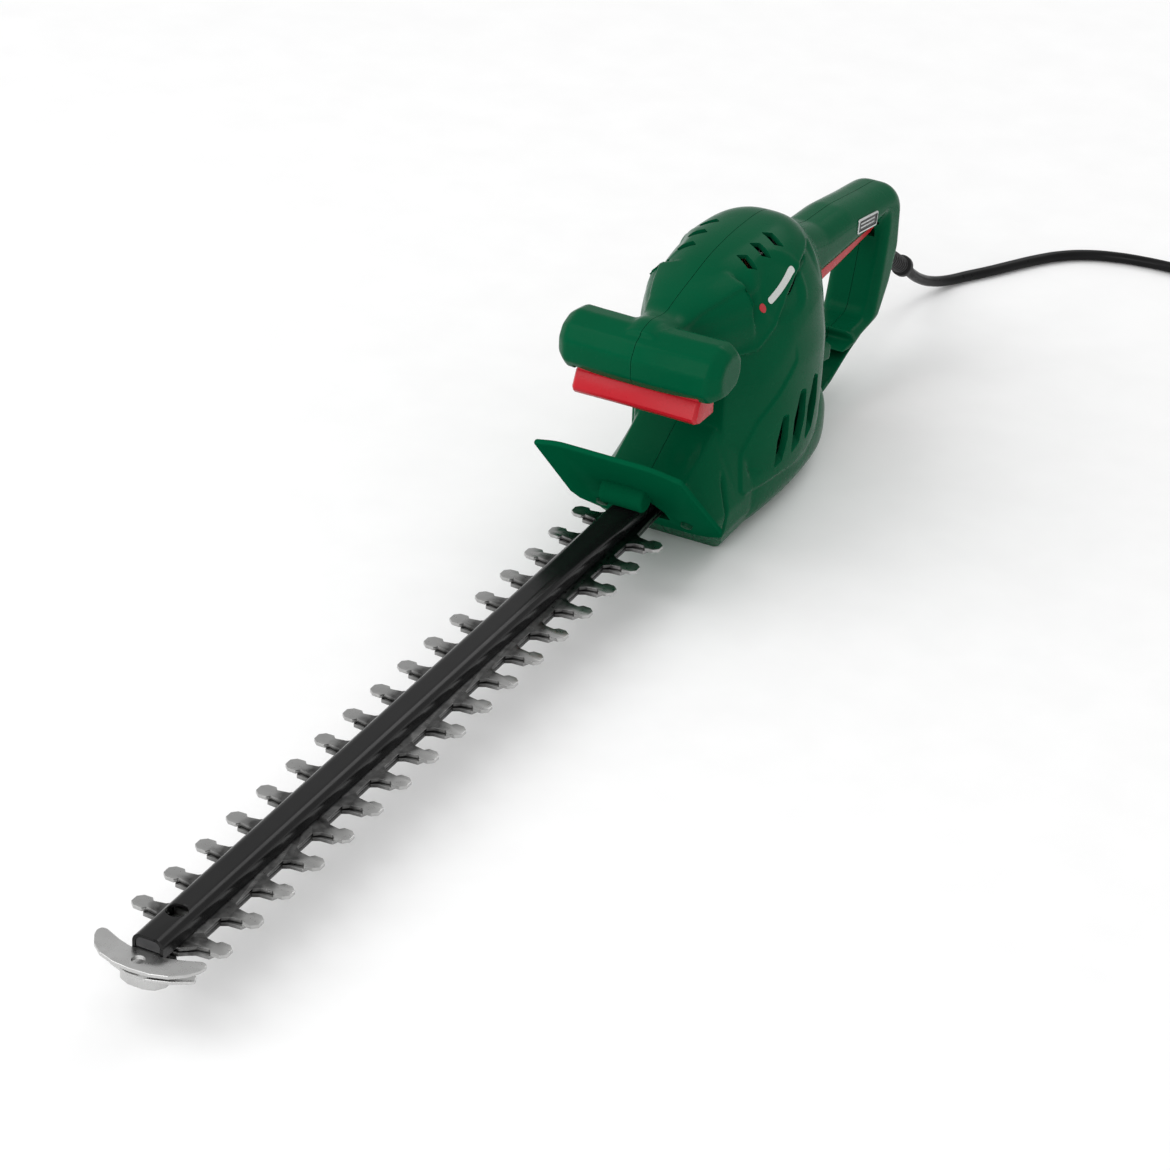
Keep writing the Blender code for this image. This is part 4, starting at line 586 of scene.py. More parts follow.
def carved(
    base: bpy.types.Object, cutters: list[bpy.types.Object], operation: str = "DIFFERENCE"
) -> bpy.types.Object:
    """Cut, join or keep a base with each cutter in turn, and remove the cutters.

    Args:
        base: the object that is changed.
        cutters: closed objects.
        operation: DIFFERENCE, UNION or INTERSECT.

    Returns:
        The base.
    """
    for cutter in cutters:
        for solver in ("MANIFOLD", "EXACT"):
            tool = base.modifiers.new("cut", "BOOLEAN")
            tool.operation = operation
            tool.solver = solver
            tool.object = cutter
            graph = bpy.context.evaluated_depsgraph_get()
            made = bpy.data.meshes.new_from_object(base.evaluated_get(graph))
            base.modifiers.clear()
            changed = operation == "INTERSECT" or len(made.polygons) != len(base.data.polygons)
            if len(made.polygons) and changed:
                break
        old, base.data = base.data, made
        bpy.data.meshes.remove(old)
        bpy.data.objects.remove(cutter)
    return base


def smoothed(obj: bpy.types.Object, angle: float = 32.0) -> bpy.types.Object:
    """Shade an object smooth, except at edges sharper than an angle in degrees, and return it."""
    obj.data.shade_smooth()
    obj.data.set_sharp_from_angle(angle=math.radians(angle))
    return obj


def eased_edges(
    obj: bpy.types.Object, width: float, segments: int = 2, angle: float = 40.0
) -> bpy.types.Object:
    """Bevel an object's edges that are sharper than an angle, by a width in millimetres, and return it."""
    bevel = obj.modifiers.new("ease", "BEVEL")
    bevel.width = width * MM
    bevel.segments = segments
    bevel.limit_method = "ANGLE"
    bevel.angle_limit = math.radians(angle)
    bevel.harden_normals = False
    return settled(obj)


def place_piece(
    obj: bpy.types.Object, name: str, body: Body, finish: Finish, nodes: tuple[str, ...] = ()
) -> bpy.types.Object:
    """Name and dress a finished piece, and tell the frame what it rides on, stands for and is made of.

    Args:
        obj: the piece.
        name: its name.
        body: the body that carries it.
        finish: what it is dressed in.
        nodes: frame nodes that it stands for.

    Returns:
        The piece.
    """
    obj.name = name
    finish.dress(obj)
    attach(obj, body.value)
    if nodes:
        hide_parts(*nodes)
    log.info("%s: %d faces on %s", name, len(obj.data.polygons) if obj.type == "MESH" else 0, body.value)
    return obj


# ----------------------------------------------------------------------------------------- camera and studio


@dataclass
class Viewpoint:
    """The camera: where it stands in the datum and how it is turned, in degrees, and its lens."""

    place: tuple[float, float, float] = (786.8, -1671.7, 1022.9)
    azimuth: float = 25.76
    elevation: float = 29.84
    roll: float = 3.15
    lens: float = 123.94

    def build(self, datum: Datum) -> bpy.types.Object:
        """Make the camera and return it.

        The backward axis is (sin a cos e, -cos a cos e, sin e); the sideways and upward axes are then turned
        by the roll about it.
        """
        a, e, r = (math.radians(v) for v in (self.azimuth, self.elevation, self.roll))
        back = np.array([math.sin(a) * math.cos(e), -math.cos(a) * math.cos(e), math.sin(e)])
        level = np.array([math.cos(a), math.sin(a), 0.0])
        up = np.cross(back, level)
        side = math.cos(r) * level + math.sin(r) * up
        head = -math.sin(r) * level + math.cos(r) * up
        lens = bpy.data.cameras.new("viewpoint")
        lens.lens = self.lens
        lens.sensor_width = 36.0
        lens.clip_start = 0.05
        lens.clip_end = 50.0
        camera = bpy.data.objects.new("viewpoint", lens)
        camera.matrix_world = Matrix.Translation(datum.metres(self.place)) @ Matrix(
            np.column_stack([side, head, back]).tolist()
        ).to_4x4()
        bpy.context.scene.collection.objects.link(camera)
        bpy.context.scene.camera = camera
        return camera


@dataclass
class Studio:
    """A pale floor, a white surround and soft lights."""

    floor_size: float = 14.0
    surround: float = 0.66
    key: float = 30.0
    fill: float = 22.0
    rim: float = 10.0

    def build(self) -> None:
        """Make the floor, the surround and the lights."""
        half = self.floor_size / 2
        corners = np.array([(-half, -half, 0.0), (half, -half, 0.0), (half, half, 0.0), (-half, half, 0.0)])
        mesh = bpy.data.meshes.new("floor")
        mesh.from_pydata(corners.tolist(), [], [[0, 1, 2, 3]])
        floor = bpy.data.objects.new("floor", mesh)
        bpy.context.scene.collection.objects.link(floor)
        Finish("pale_floor", (0.93, 0.93, 0.93), (0.91, 0.91, 0.91), (0.75, 0.85), grain=0.02).dress(floor)
        world = bpy.data.worlds.new("surround")
        bpy.context.scene.world = world
        world.use_nodes = True
        sky = world.node_tree.nodes["Background"]
        sky.inputs["Color"].default_value = (1.0, 1.0, 1.0, 1.0)
        sky.inputs["Strength"].default_value = self.surround
        self._panel("key", (-1.6, -1.0, 2.1), 2.2, self.key)
        self._panel("fill", (0.3, -2.3, 1.2), 1.6, self.fill)
        self._panel("rim", (0.3, 1.9, 1.7), 1.2, self.rim)
        bpy.context.scene.view_settings.view_transform = "Standard"

    @staticmethod
    def _panel(name: str, place: tuple[float, float, float], size: float, power: float) -> None:
        """Hang one square soft light, in metres and watts, turned towards the trimmer's middle."""
        light = bpy.data.lights.new(name, "AREA")
        light.shape = "SQUARE"
        light.size = size
        light.energy = power
        panel = bpy.data.objects.new(name, light)
        aim = Vector((0.0, 0.05, 0.05)) - Vector(place)
        panel.matrix_world = Matrix.Translation(place) @ aim.to_track_quat("-Z", "Y").to_matrix().to_4x4()
        bpy.context.scene.collection.objects.link(panel)


# ------------------------------------------------------------------------------------------------------ cord


@dataclass
class MainsLead:
    """The boot, the free lead and its moulded plug."""

    diameter: float = 6.5
    boot_exit: tuple[float, float] = (322.0, 33.0)
    boot_drop: float = 32.5
    boot_length: float = 58.0
    gap: float = 0.3
    route: tuple[tuple[float, float, float], ...] = (
        (0.4, 384.0, -7.8), (1.4, 398.0, -16.8), (3.6, 412.0, -23.4), (8.0, 427.0, -27.6),
        (15.0, 441.0, -28.5),
        (24.0, 455.0, -28.5), (33.0, 470.5, -28.5), (42.5, 486.0, -28.5), (53.0, 499.5, -28.5),
        (67.0, 510.5, -28.5), (84.0, 517.5, -28.5), (102.0, 521.0, -28.5), (121.0, 522.0, -28.3),
        (140.0, 521.0, -27.2), (158.0, 519.5, -24.8), (174.0, 518.3, -22.3), (186.0, 517.6, -21.1),
    )
    plug_start: tuple[float, float, float] = (198.0, 517.0, -20.7)
    pin_nodes: tuple[str, ...] = ("plug_pin_1", "plug_pin_2")

    def direction(self) -> np.ndarray:
        """Unit vector along the boot, out of the handle and down."""
        drop = math.radians(self.boot_drop)
        return np.array([0.0, math.cos(drop), -math.sin(drop)])

    def along_boot(self, distance: float) -> np.ndarray:
        """A point on the boot's axis, measured from where it leaves the handle."""
        return np.array([0.0, *self.boot_exit]) + self.direction() * distance

    def build_plug(self, datum: Datum) -> bpy.types.Object:
        """Make the moulded plug and return it.

        Its cross-section is a super-ellipse whose two half-widths follow the rows; it has four shallow ribs
        that are a cosine of the distance along the plug.
        """
        rows = through(
            np.array([
                (0, 4.5, 4.5, 2.0), (7, 4.9, 4.9, 2.0), (14, 5.5, 5.5, 2.0), (22, 8.6, 8.1, 2.4),
                (30, 14.4, 10.2, 3.0),
                (44, 17.8, 10.9, 3.2), (55, 18.3, 10.9, 3.2), (60, 18.0, 10.6, 3.2), (62, 16.8, 9.6, 3.0),
            ]),
            90,
        )
        turn = np.linspace(0.0, 2 * math.pi, 72, endpoint=False)
        power = 2.0 / rows[:, 3:]
        ribs = 1.0 - 0.035 * ease(rows[:, :1], 30, 34) * (1 - ease(rows[:, :1], 52, 56)) * (
            0.5 - 0.5 * np.cos(rows[:, :1] * 2 * math.pi / 5.5)
        )
        across = np.sign(np.cos(turn)) * np.abs(np.cos(turn)) ** power * rows[:, 1:2] * ribs
        up = np.sign(np.sin(turn)) * np.abs(np.sin(turn)) ** power * rows[:, 2:3]
        along = np.broadcast_to(rows[:, :1], across.shape)
        start = np.array(self.plug_start)
        plug = Shape(start + np.stack([along, across, up], 2)).mesh("plug", datum)
        return place_piece(
            smoothed(plug), "moulded_plug", Body.FRAME, BOOT_RUBBER, ("plug_body",)
        )

    def build_lead(self, datum: Datum) -> bpy.types.Object:
        """Args:
            datum: where the trimmer's datum lies.

        Returns:
            The lead.
        """
        start = self.along_boot(self.boot_length + self.gap)
        stop = np.array(self.plug_start) - (self.gap, 0.0, 0.0)
        points = datum.metres(np.vstack([start, start + self.direction() * 6.0, self.route, stop]))
        curve = bpy.data.curves.new("lead", "CURVE")
        curve.dimensions = "3D"
        curve.bevel_depth = self.diameter / 2 * MM
        curve.bevel_resolution = 8
        curve.resolution_u = 10
        curve.use_fill_caps = True
        spline = curve.splines.new("BEZIER")
        spline.bezier_points.add(len(points) - 1)
        spline.bezier_points.foreach_set("co", points.ravel())
        for point in spline.bezier_points:
            point.handle_left_type = point.handle_right_type = "AUTO"
        lead = bpy.data.objects.new("lead", curve)
        bpy.context.scene.collection.objects.link(lead)
        place_piece(lead, "mains_lead", Body.FRAME, CORD_JACKET, ("mains_cord",))
        return lead

    def build_boot(self, datum: Datum) -> bpy.types.Object:
        """Turn the ribbed boot and return it.

        Its radius falls evenly from 6 to 5 mm and dips by a third of a millimetre in twelve grooves, each a
        squared cosine of the distance, before the plain collar at its end.
        """
        s = np.linspace(-7.5, self.boot_length - 6.5, 150)
        radius = np.interp(s, (-7.5, 4.0, self.boot_length - 6.5), (6.0, 6.0, 5.0))
        wave = 0.5 - 0.5 * np.cos((s - 6.0) * 2 * math.pi / 3.6)
        radius -= 0.75 * wave**4 * ease(s, 5.0, 7.0)
        end = self.boot_length
        collar = [
            (6.3, end - 5.4), (6.4, end - 5.0), (6.4, end - 1.2), (6.1, end - 0.5), (5.4, end - 0.05),
            (0.4, end),
        ]
        profile = np.vstack([[(0.4, -7.5)], np.column_stack([radius, s]), collar])
        boot = lathed(profile, self.along_boot(0.0), self.direction(), 56).mesh("boot", datum)
        return place_piece(
            smoothed(boot, 40), "ribbed_boot", Body.FRAME, BOOT_RUBBER, ("cord_boot",)
        )


# --------------------------------------------------------------------------------------------------- housing


@dataclass
class Housing:
    """The green clamshell: motor body, foot, gear case, neck, crossbar and D handle, split at the seam."""

    belly: float = -32.0
    wall: float = 3.0
    voxel: float = 1.1
    settle: int = 7
    handle_half: float = 16.0
    handle_round: float = 12.5
    handle_rear: float = 325.0
    crossbar_half: float = 47.0
    guard_foot: tuple[float, float] = (32.0, -10.0)
    guard_lean: float = 44.2
    guard_gap: float = 3.3
    body_rows: tuple[tuple[float, float, float], ...] = (
        (62, 26.0, 116.0), (70, 30.0, 118.0), (85, 37.0, 121.5), (100, 42.0, 123.5), (115, 44.5, 124.5),
        (132, 45.0, 124.5), (148, 43.0, 123.5), (160, 38.5, 120.5), (171, 33.0, 114.5), (182, 28.0, 107.0),
        (192, 23.0, 98.0), (199, 17.0, 86.0), (203, 9.0, 70.0),
    )
    foot_rows: tuple[tuple[float, float], ...] = (
        (58, 34), (66, 36.5), (90, 40.5), (130, 41.5), (165, 38.5), (185, 33), (197, 26), (203, 18),
    )
    neck_rows: tuple[tuple[float, float, float], ...] = (
        (8, 13, 110), (20, 13, 112), (36, 15, 109.5), (48, 19.5, 112.5), (62, 26, 116), (80, 33, 119),
    )
    nose_rows: tuple[tuple[float, float], ...] = ((-6, 18), (30, 18.5), (62, 37), (76, 45))
    screws: tuple[tuple[float, float], ...] = (
        (78, 103), (176, 88), (190, -14), (68, -19), (252, 73), (311, 56),
    )
    step_line: tuple[tuple[float, float], ...] = (
        (45, 79), (64, 77), (82, 77), (97, 87), (110, 98), (133, 108), (155, 112),
    )

    @staticmethod
    def eggs(y: np.ndarray, half: np.ndarray, low: np.ndarray, high: np.ndarray, middle: np.ndarray,
             n_top: float, n_low: float, floor: float, count: int = 144) -> Shape:
        """Sections across the tool, each a super-ellipse with its own power above and below its middle.

        x is half * |cos t|^(2/n) with the sign of cos t, and z is the middle plus the reach up or down times
        |sin t|^(2/n) with the sign of sin t, never under the floor.

        Args:
            y: place of each section.
            half: its half-width.
            low: its lowest point.
            high: its highest point.
            middle: height of its widest line.
            n_top: the power above the middle.
            n_low: the power below it.
            floor: a height that the section is cut off at.
            count: points in each section.

        Returns:
            The surface.
        """
        turn = 2 * math.pi * (np.arange(count) + 0.5) / count
        c, s = np.cos(turn), np.sin(turn)
        power = np.where(s > 0, n_top, n_low)
        x = np.sign(c) * np.abs(c) ** (2 / power) * half[:, None]
        reach = np.where(s > 0, (high - middle)[:, None], (middle - low)[:, None])
        z = middle[:, None] + reach * np.sign(s) * np.abs(s) ** (2 / power)
        return Shape(np.stack([x, np.broadcast_to(y[:, None], x.shape), np.maximum(z, floor)], 2))

    def motor_body(self, inset: float) -> Shape:
        """The motor body, from its steep front to its rounded back, drawn in by an inset."""
        y, half, top = through(np.array(self.body_rows), 90).T
        keep = half > inset + 9.0 if inset else half > 0
        y, half, top = y[keep], half[keep], top[keep]
        middle = 46.0 - 8.0 * ease(-top, -94.0, -86.0)
        low = np.full_like(y, self.belly - 2.5 + inset)
        y = np.maximum(y, self.body_rows[0][0] + inset) + 1e-4 * np.arange(len(y))
        return self.eggs(y, half - inset, low, top - inset, middle, 2.6, 3.6, self.belly + inset)

    def foot(self, inset: float) -> Shape:
        """The wide lower part of the body, drawn in by an inset."""
        y, half = through(np.array(self.foot_rows), 60).T
        y = np.clip(y, 58 + inset, 204 - inset) + 1e-4 * np.arange(len(y))
        flat = np.ones_like(y)
        return self.eggs(
            y, half - inset, flat * (self.belly - 1.5 + inset), flat * (14.0 - inset), flat * -9.0, 3.0, 2.7,
            self.belly + inset, 120,
        )

    def gear_case(self, inset: float) -> Shape:
        """The low roof over the bar with its sloping sides: one many-sided section carried along the rows."""
        y, top = np.array(self.nose_rows, float).T
        y = np.interp(np.linspace(0, 3, 25), np.arange(4), y)
        top = np.interp(y, *np.array(self.nose_rows, float).T) - inset
        upper, lower, low, wide = 22.0 - inset, 39.0 - inset, self.belly + inset, -14.0
        one = np.ones_like(y)
        half = [
            (one * (lower - 12), one * low), (one * (lower - 8), one * (low + 2.5)),
            (one * (lower - 3.5), one * (low + 9)), (one * lower, one * wide),
            (one * lower, one * (wide + 11)),
            (one * (upper + 1.6), top - 3.0), (one * (upper + 0.4), top - 0.4),
            (one * (upper - 1.6), top - 0.2),
            (one * 0.0, top + 0.4),
        ]
        x = np.stack([h[0] for h in half] + [-h[0] for h in half[-2::-1]], 1)
        z = np.stack([h[1] for h in half] + [h[1] for h in half[-2::-1]], 1)
        return Shape(np.stack([x, np.broadcast_to(y[:, None], x.shape), z], 2))

    def neck(self, inset: float) -> Shape:
        """The arm that carries the crossbar, widening back into the dome."""
        y, half, top = through(np.array(self.neck_rows), 50).T
        low = 80.0 - 14.0 * np.maximum(0.0, (y - 40) / 40)
        return self.eggs(y, half - inset, low + inset, top - inset, np.full_like(y, 96.0), 2.8, 3.0, -1e3, 96)

    def crossbar(self, inset: float) -> Shape:
        """The front grip: a many-sided section that bows back by 5 |s|^1.6 mm towards its ends.

        Over the last seventh of each half the section shrinks by 0.3 times the share of the way to the end to
        the power 1.25, which leaves a slanting facet round each end.
        """
        section = rounded(
            np.array([
                (-1.5, 87), (-2, 98), (3, 106), (14, 110), (25, 108.5), (32, 101), (32.5, 90), (27, 82),
                (14, 79.5), (3.5, 81),
            ]),
            2.0, 4,
        )
        middle = np.array([15.5, 95.0])
        share = np.sin(np.linspace(-math.pi / 2, math.pi / 2, 91))
        bow = 5.0 * np.abs(share) ** 1.6
        shrink = 1.0 - 0.30 * np.clip((np.abs(share) - 0.86) / 0.14, 0, 1) ** 1.25
        offset = section - middle
        offset = offset * (1 - inset / np.linalg.norm(offset, axis=1))[:, None]
        yz = middle + shrink[:, None, None] * offset + np.stack([bow, -0.4 * bow], 1)[:, None, :]
        x = np.broadcast_to((share * (self.crossbar_half - inset))[:, None, None], (*yz.shape[:2], 1))
        return Shape(np.concatenate([x, yz], 2))

    def grip_loop(self) -> Shape:
        """The D handle before its windows: its outline drawn in towards both sides.

        At share t of the rounded rim the outline is drawn in by the rim's size times 1 - sqrt(1 - t^2).
        """
        rear = self.handle_rear
        corners = np.array([
            (150, 60), (160, 20), (170, -27), (rear - 122, -26), (rear - 90, -19), (rear - 65, -10),
            (rear - 48, -5),
            (rear - 24, -3), (rear - 9, 18), (rear, 40), (rear - 1.0, 79.2), (284, 84.5), (246, 90.5),
            (214, 92.5), (190, 98.5), (150, 98),
        ], float)
        radii = np.array([0, 0, 0, 20, 40, 30, 15, 12, 20, 20, 18, 60, 60, 20, 12, 0], float)
        before = corners - np.roll(corners, 1, 0)
        after = np.roll(corners, -1, 0) - corners
        convex = np.sign(before[:, 0] * after[:, 1] - before[:, 1] * after[:, 0])
        shares = np.linspace(0.0, 0.96, 12)
        shares = np.concatenate([-shares[::-1], shares])
        rings = []
        for k, t in enumerate(shares):
            depth = self.handle_round * (1 - math.sqrt(1 - t * t))
            side = -1 if k < len(shares) / 2 else 1
            x = side * (self.handle_half - self.handle_round * (1 - abs(t) / 0.96))
            sizes = np.where(radii > 0, np.maximum(radii - depth * convex, 1.5), 0.1)
            flat = rounded(drawn_in(corners, depth), sizes, 8)
            rings.append(np.column_stack([np.full(len(flat), x), flat]))
        return Shape(np.stack(rings))

    def windows(self) -> list[Shape]:
        """The finger window, flared at both sides, the small opening under it, and the cord hook's pocket."""
        rear = self.handle_rear
        big = rounded(
            np.array([
                (206, 22), (206, 58), (rear - 25, 58), (rear - 31, 34), (rear - 39, 8), (rear - 60, 7),
            ], float),
            np.array([6, 4, 6, 14, 8, 10], float), 8,
        )
        centre = np.array([256.0, 32.0])
        rings = []
        flare = ((0.5, 0.0), (0.7, 0.0), (0.86, 0.35), (1.0, 1.0), (1.1, 1.7))
        for x, grow in [(-x, grow) for x, grow in flare[::-1]] + list(flare):
            flat = centre + (big - centre) * (1 + grow * 4.5 / np.array([47.0, 26.0]))
            lift = 2.2 + 1.38 * (abs(x) - 0.5) * self.handle_half - 4.5 * grow
            flat = flat + np.column_stack([np.zeros(len(flat)), lift * ease(big[:, 1], 46.0, 57.0)])
            rings.append(np.column_stack([np.full(len(flat), x * self.handle_half), flat]))
        small = np.array([
            (208, -13), (rear - 90, -9.5), (rear - 60, -1.5), (rear - 52, 0.5), (rear - 70, -0.5), (208, 9),
        ], float)
        hook = rounded(np.array([(228, 1.5), (262, 1.5), (259, 14.0), (231, 22.0)], float), 1.0, 3)
        return [
            Shape(np.stack(rings)),
            layered(rounded(small, 1.0, 3), -34, 34, THROUGH_CUT, Axis.X, 1),
            layered(hook, -6.5, 40, THROUGH_CUT, Axis.X, 1),
        ]

    def guard_cut(self, offset: float) -> Shape:
        """A block that fills the space in front of the guard's plane moved back by an offset."""
        lean = math.radians(self.guard_lean)
        up = np.array([-math.sin(lean), math.cos(lean)])
        out = np.array([-math.cos(lean), -math.sin(lean)])
        foot = np.array(self.guard_foot) - out * offset
        low, high, far = foot - up * 120, foot + up * 60, out * 200
        flat = np.array([low, high, high + far, low + far])
        return layered(flat, -200, 200, THROUGH_CUT, Axis.X, 1)

    def relief(self, points: np.ndarray) -> np.ndarray:
        """How far each point of the outer surface moves outwards, in millimetres.

        It adds up: the step under the dome's rim, falling back within 26 mm and cut deeper at its rear end;
        the raised side panel; the soft ledge that runs back from the neck; the shallow dish beside it with
        its rim; the narrow slit between gear case and body; and the finger dent on the gear case.

        Args:
            points: points in the datum, in millimetres.

        Returns:
            One number for each point.
        """
        x, y, z = points.T
        wide = np.abs(x)
        line = np.interp(y, *np.array(self.step_line, float).T)
        below = line - z
        side = ease(wide, 12, 18) * ease(y, 52, 60) * (1 - ease(y, 150, 158))
        step = -1.7 * ease(below, -0.6, 0.6) * (1 - ease(below, 3.0, 26.0)) * side
        lip = 0.5 * np.exp(-(((below + 1.8) / 1.6) ** 2)) * side
        slit = -2.2 * np.exp(-(((below - 0.9) / 1.1) ** 2)) * side
        slit *= ease(y, 112, 118) * (1 - ease(y, 138, 144))
        front = np.interp(z, (-4.0, 0.0, 35.0, 47.0, 62.0), (62.0, 64.0, 83.0, 97.0, 112.0))
        under = np.interp(y, (64.0, 68.0, 123.0, 164.0, 190.0), (2.0, -2.0, -6.0, 2.0, 12.0))
        panel = 1.1 * ease(y - front, -0.8, 0.8) * ease(z - under, -0.8, 0.8) * (1 - ease(z, 56, 74))
        panel *= (1 - ease(y, 158, 176)) * ease(wide, 20, 26)
        crest = np.interp(y, (30.0, 48.0, 62.0, 80.0, 95.0), (11.5, 15.5, 20.5, 25.5, 28.0))
        away = wide - crest
        ledge = -1.5 * ease(away, -0.7, 1.6) * (1 - ease(away, 3.0, 15.0))
        ledge *= ease(y, 30, 40) * (1 - ease(y, 84, 97)) * ease(z, 92, 100)
        reach = np.sqrt((y - 108.0) ** 2 + (z - 101.0) ** 2 * 1.25)
        rim = 0.35 * np.exp(-(((reach - 22.5) / 1.8) ** 2))
        dish = (rim - 1.1 * (1 - ease(reach, 15, 21))) * ease(wide, 16, 22)
        dish *= ease(y, 84, 92) * (1 - ease(y, 130, 138)) * ease(z, 84, 92)
        crack = -2.0 * np.exp(-(((y - np.interp(z, (-24, 20), (36, 57))) / 1.1) ** 2)) * ease(wide, 26, 31)
        crack *= ease(z, -20, -12) * (1 - ease(z, 8, 18))
        dent = -2.4 * np.exp(-(((x - 14.7) / 5.0) ** 2 + ((y - 43.0) / 8.0) ** 2)) * (1 - ease(z, 32, 36))
        groove = -0.5 * np.exp(-(((z - 4.0 - 0.04 * (y - 60)) / 1.2) ** 2))
        groove *= ease(y, 166, 172) * (1 - ease(y, 196, 200))
        return step + lip + slit + panel + ledge + dish + crack + dent + groove

    def outer_skin(self, datum: Datum) -> bpy.types.Object:
        """Join the outer forms into one even mesh, soften where they meet and raise the relief.

        Args:
            datum: where the trimmer's datum lies.

        Returns:
            The outer skin as one closed mesh.
        """
        loop = carved(self.grip_loop().mesh("loop", datum), [w.mesh("window", datum) for w in self.windows()])
        forms = [self.motor_body(0), self.foot(0), self.gear_case(0), self.neck(0), self.crossbar(0)]
        skin = carved(loop, [form.mesh("form", datum) for form in forms], "UNION")
        grid = skin.modifiers.new("even", "REMESH")
        grid.mode = "VOXEL"
        grid.voxel_size = self.voxel * MM
        soft = skin.modifiers.new("soft", "SMOOTH")
        soft.factor = 0.5
        soft.iterations = self.settle
        settled(skin)
        count = len(skin.data.vertices)
        points = np.empty(count * 3)
        skin.data.vertices.foreach_get("co", points)
        normals = np.empty(count * 3, np.float32)
        skin.data.vertices.foreach_get("normal", normals)
        points = points.reshape(-1, 3)
        rise = self.relief((points - datum.origin) / MM)
        points += normals.reshape(-1, 3) * rise[:, None] * MM
        points[:, 2] = np.maximum(points[:, 2], datum.origin[2] + self.belly * MM)
        skin.data.vertices.foreach_set("co", points.ravel())
        skin.data.update()
        return skin

    def hollows(self, datum: Datum) -> list[bpy.types.Object]:
        """The hollow inside: each form drawn in by the wall, the gear case's cut back from the guard."""
        case = carved(
            self.gear_case(self.wall).mesh("case", datum),
            [self.guard_cut(self.guard_gap + self.wall).mesh("front", datum)],
        )
        rear = self.handle_rear - self.wall
        grip = rounded(
            np.array([
                (170, 61), (rear - 14, 61), (rear - 19, 40), (rear - 15, 22), (rear - 8, 22),
                (rear - 0.5, 40),
                (rear - 2, 62), (rear - 11, 76), (284, 81), (246, 87), (214, 89), (170, 92),
            ], float),
            2.0, 2,
        )
        return [
            self.motor_body(self.wall).mesh("hollow", datum),
            self.foot(self.wall).mesh("hollow", datum),
            case,
            self.neck(self.wall).mesh("hollow", datum),
            self.crossbar(self.wall).mesh("hollow", datum),
            layered(grip, -11, 11, THROUGH_CUT, Axis.X, 1).mesh("hollow", datum),
        ]

    def openings(self, datum: Datum, lead: MainsLead) -> list[bpy.types.Object]:
        """Everything cut through the walls.

        Args:
            datum: where the trimmer's datum lies.
            lead: the lead, whose boot leaves through the rear post.

        Returns:
            Closed cutters: the blade mouth, the dome's vents, the side louvres, both switches' slots, the
            boot's hole and the ways of the housing screws.
        """
        shapes = [block((-18.9, -40, -5.55), (18.9, 40, 15.4)), self.guard_cut(self.guard_gap)]
        turn = math.radians(-20)
        tip = math.radians(28)
        places = [(side * 19.0, 96.0 + 15 * i, 121.0, side, 6.6) for i in range(3) for side in (-1, 1)]
        places.append((-26.5, 88.5, 111.0, -1, 4.2))
        for x, y, z, side, length in places:
            local = np.array([(-length, -3.3), (length - 2.6, -3.0), (length, 3.3), (-length + 2.6, 3.0)])
            flat = rounded(local, 0.6, 3)
            ends = ((-9, 0.9), (9, 1.12))
            rings = np.stack([np.column_stack([flat * grow, np.full(len(flat), h)]) for h, grow in ends])
            c, s = math.cos(tip * side), math.sin(tip * side)
            lean = np.array([(c, 0, s), (0, 1, 0), (-s, 0, c)])
            c, s = math.cos(turn * side), math.sin(turn * side)
            swing = np.array([(c, -s, 0), (s, c, 0), (0, 0, 1)])
            rings[:, :, 0] *= side
            shapes.append(Shape(rings @ (swing @ lean).T + (x, y, z)))
        for y, z in ((105.0, 15.0), (122.5, 21.5), (138.5, 24.0)):
            leaf = np.array([(-3.6, -11.0), (1.6, -8.0), (3.6, 1.0), (3.2, 10.0), (-0.4, 11.5), (-3.4, 2.0)])
            flat = rounded(leaf, 1.0, 3)
            for side in (-1, 1):
                rings = [
                    np.column_stack([np.full(len(flat), side * x), flat * grow + (y - slide, z)])
                    for x, grow, slide in ((28.0, 0.6, -2.6), (36.5, 0.72, -1.6), (50.0, 2.3, 6.4))
                ]
                shapes.append(Shape(np.stack(rings)))
        shapes.append(block((-36.3, 4.2, 60), (36.3, 30.3, 88)))
        shapes.append(block((-8.3, 207, 52), (8.3, 305.5, 62)))
        hole = np.array([(6.3, 0.0), (6.3, 30.0)])
        shapes.append(lathed(hole, lead.along_boot(-9.0), lead.direction(), 40))
        for y, z in self.screws:
            way = np.array([(1.9, 1.0), (1.9, 8.0), (3.5, 8.0), (3.6, 70.0)])
            shapes.append(lathed(way, (0.0, y, z), (-1.0, 0.0, 0.0), 24))
        return [shape.mesh("opening", datum) for shape in shapes]

    def build(self, datum: Datum, lead: MainsLead) -> dict[int, bpy.types.Object]:
        """Make the two halves of the housing.

        Args:
            datum: where the trimmer's datum lies.
            lead: the lead, whose boot leaves through the rear post.

        Returns:
            The halves, by the sign of their side.
        """
        skin = self.outer_skin(datum)
        carved(skin, self.hollows(datum) + self.openings(datum, lead))
        halves = {}
        for side, name in ((1, "housing_left"), (-1, "housing_right")):
            half = bpy.data.objects.new(name, skin.data.copy())
            bpy.context.scene.collection.objects.link(half)
            ends = sorted((side * PROUD, side * 200.0))
            carved(half, [block((ends[0], -200, -200), (ends[1], 500, 300)).mesh("keep", datum)], "INTERSECT")
            smoothed(half, 38)
            halves[side] = place_piece(half, f"{name}_shell", Body.FRAME, GREEN_SHELL, (name,))
        bpy.data.objects.remove(skin)
        return halves


# --------------------------------------------------------------------------------- guard, switches and marks


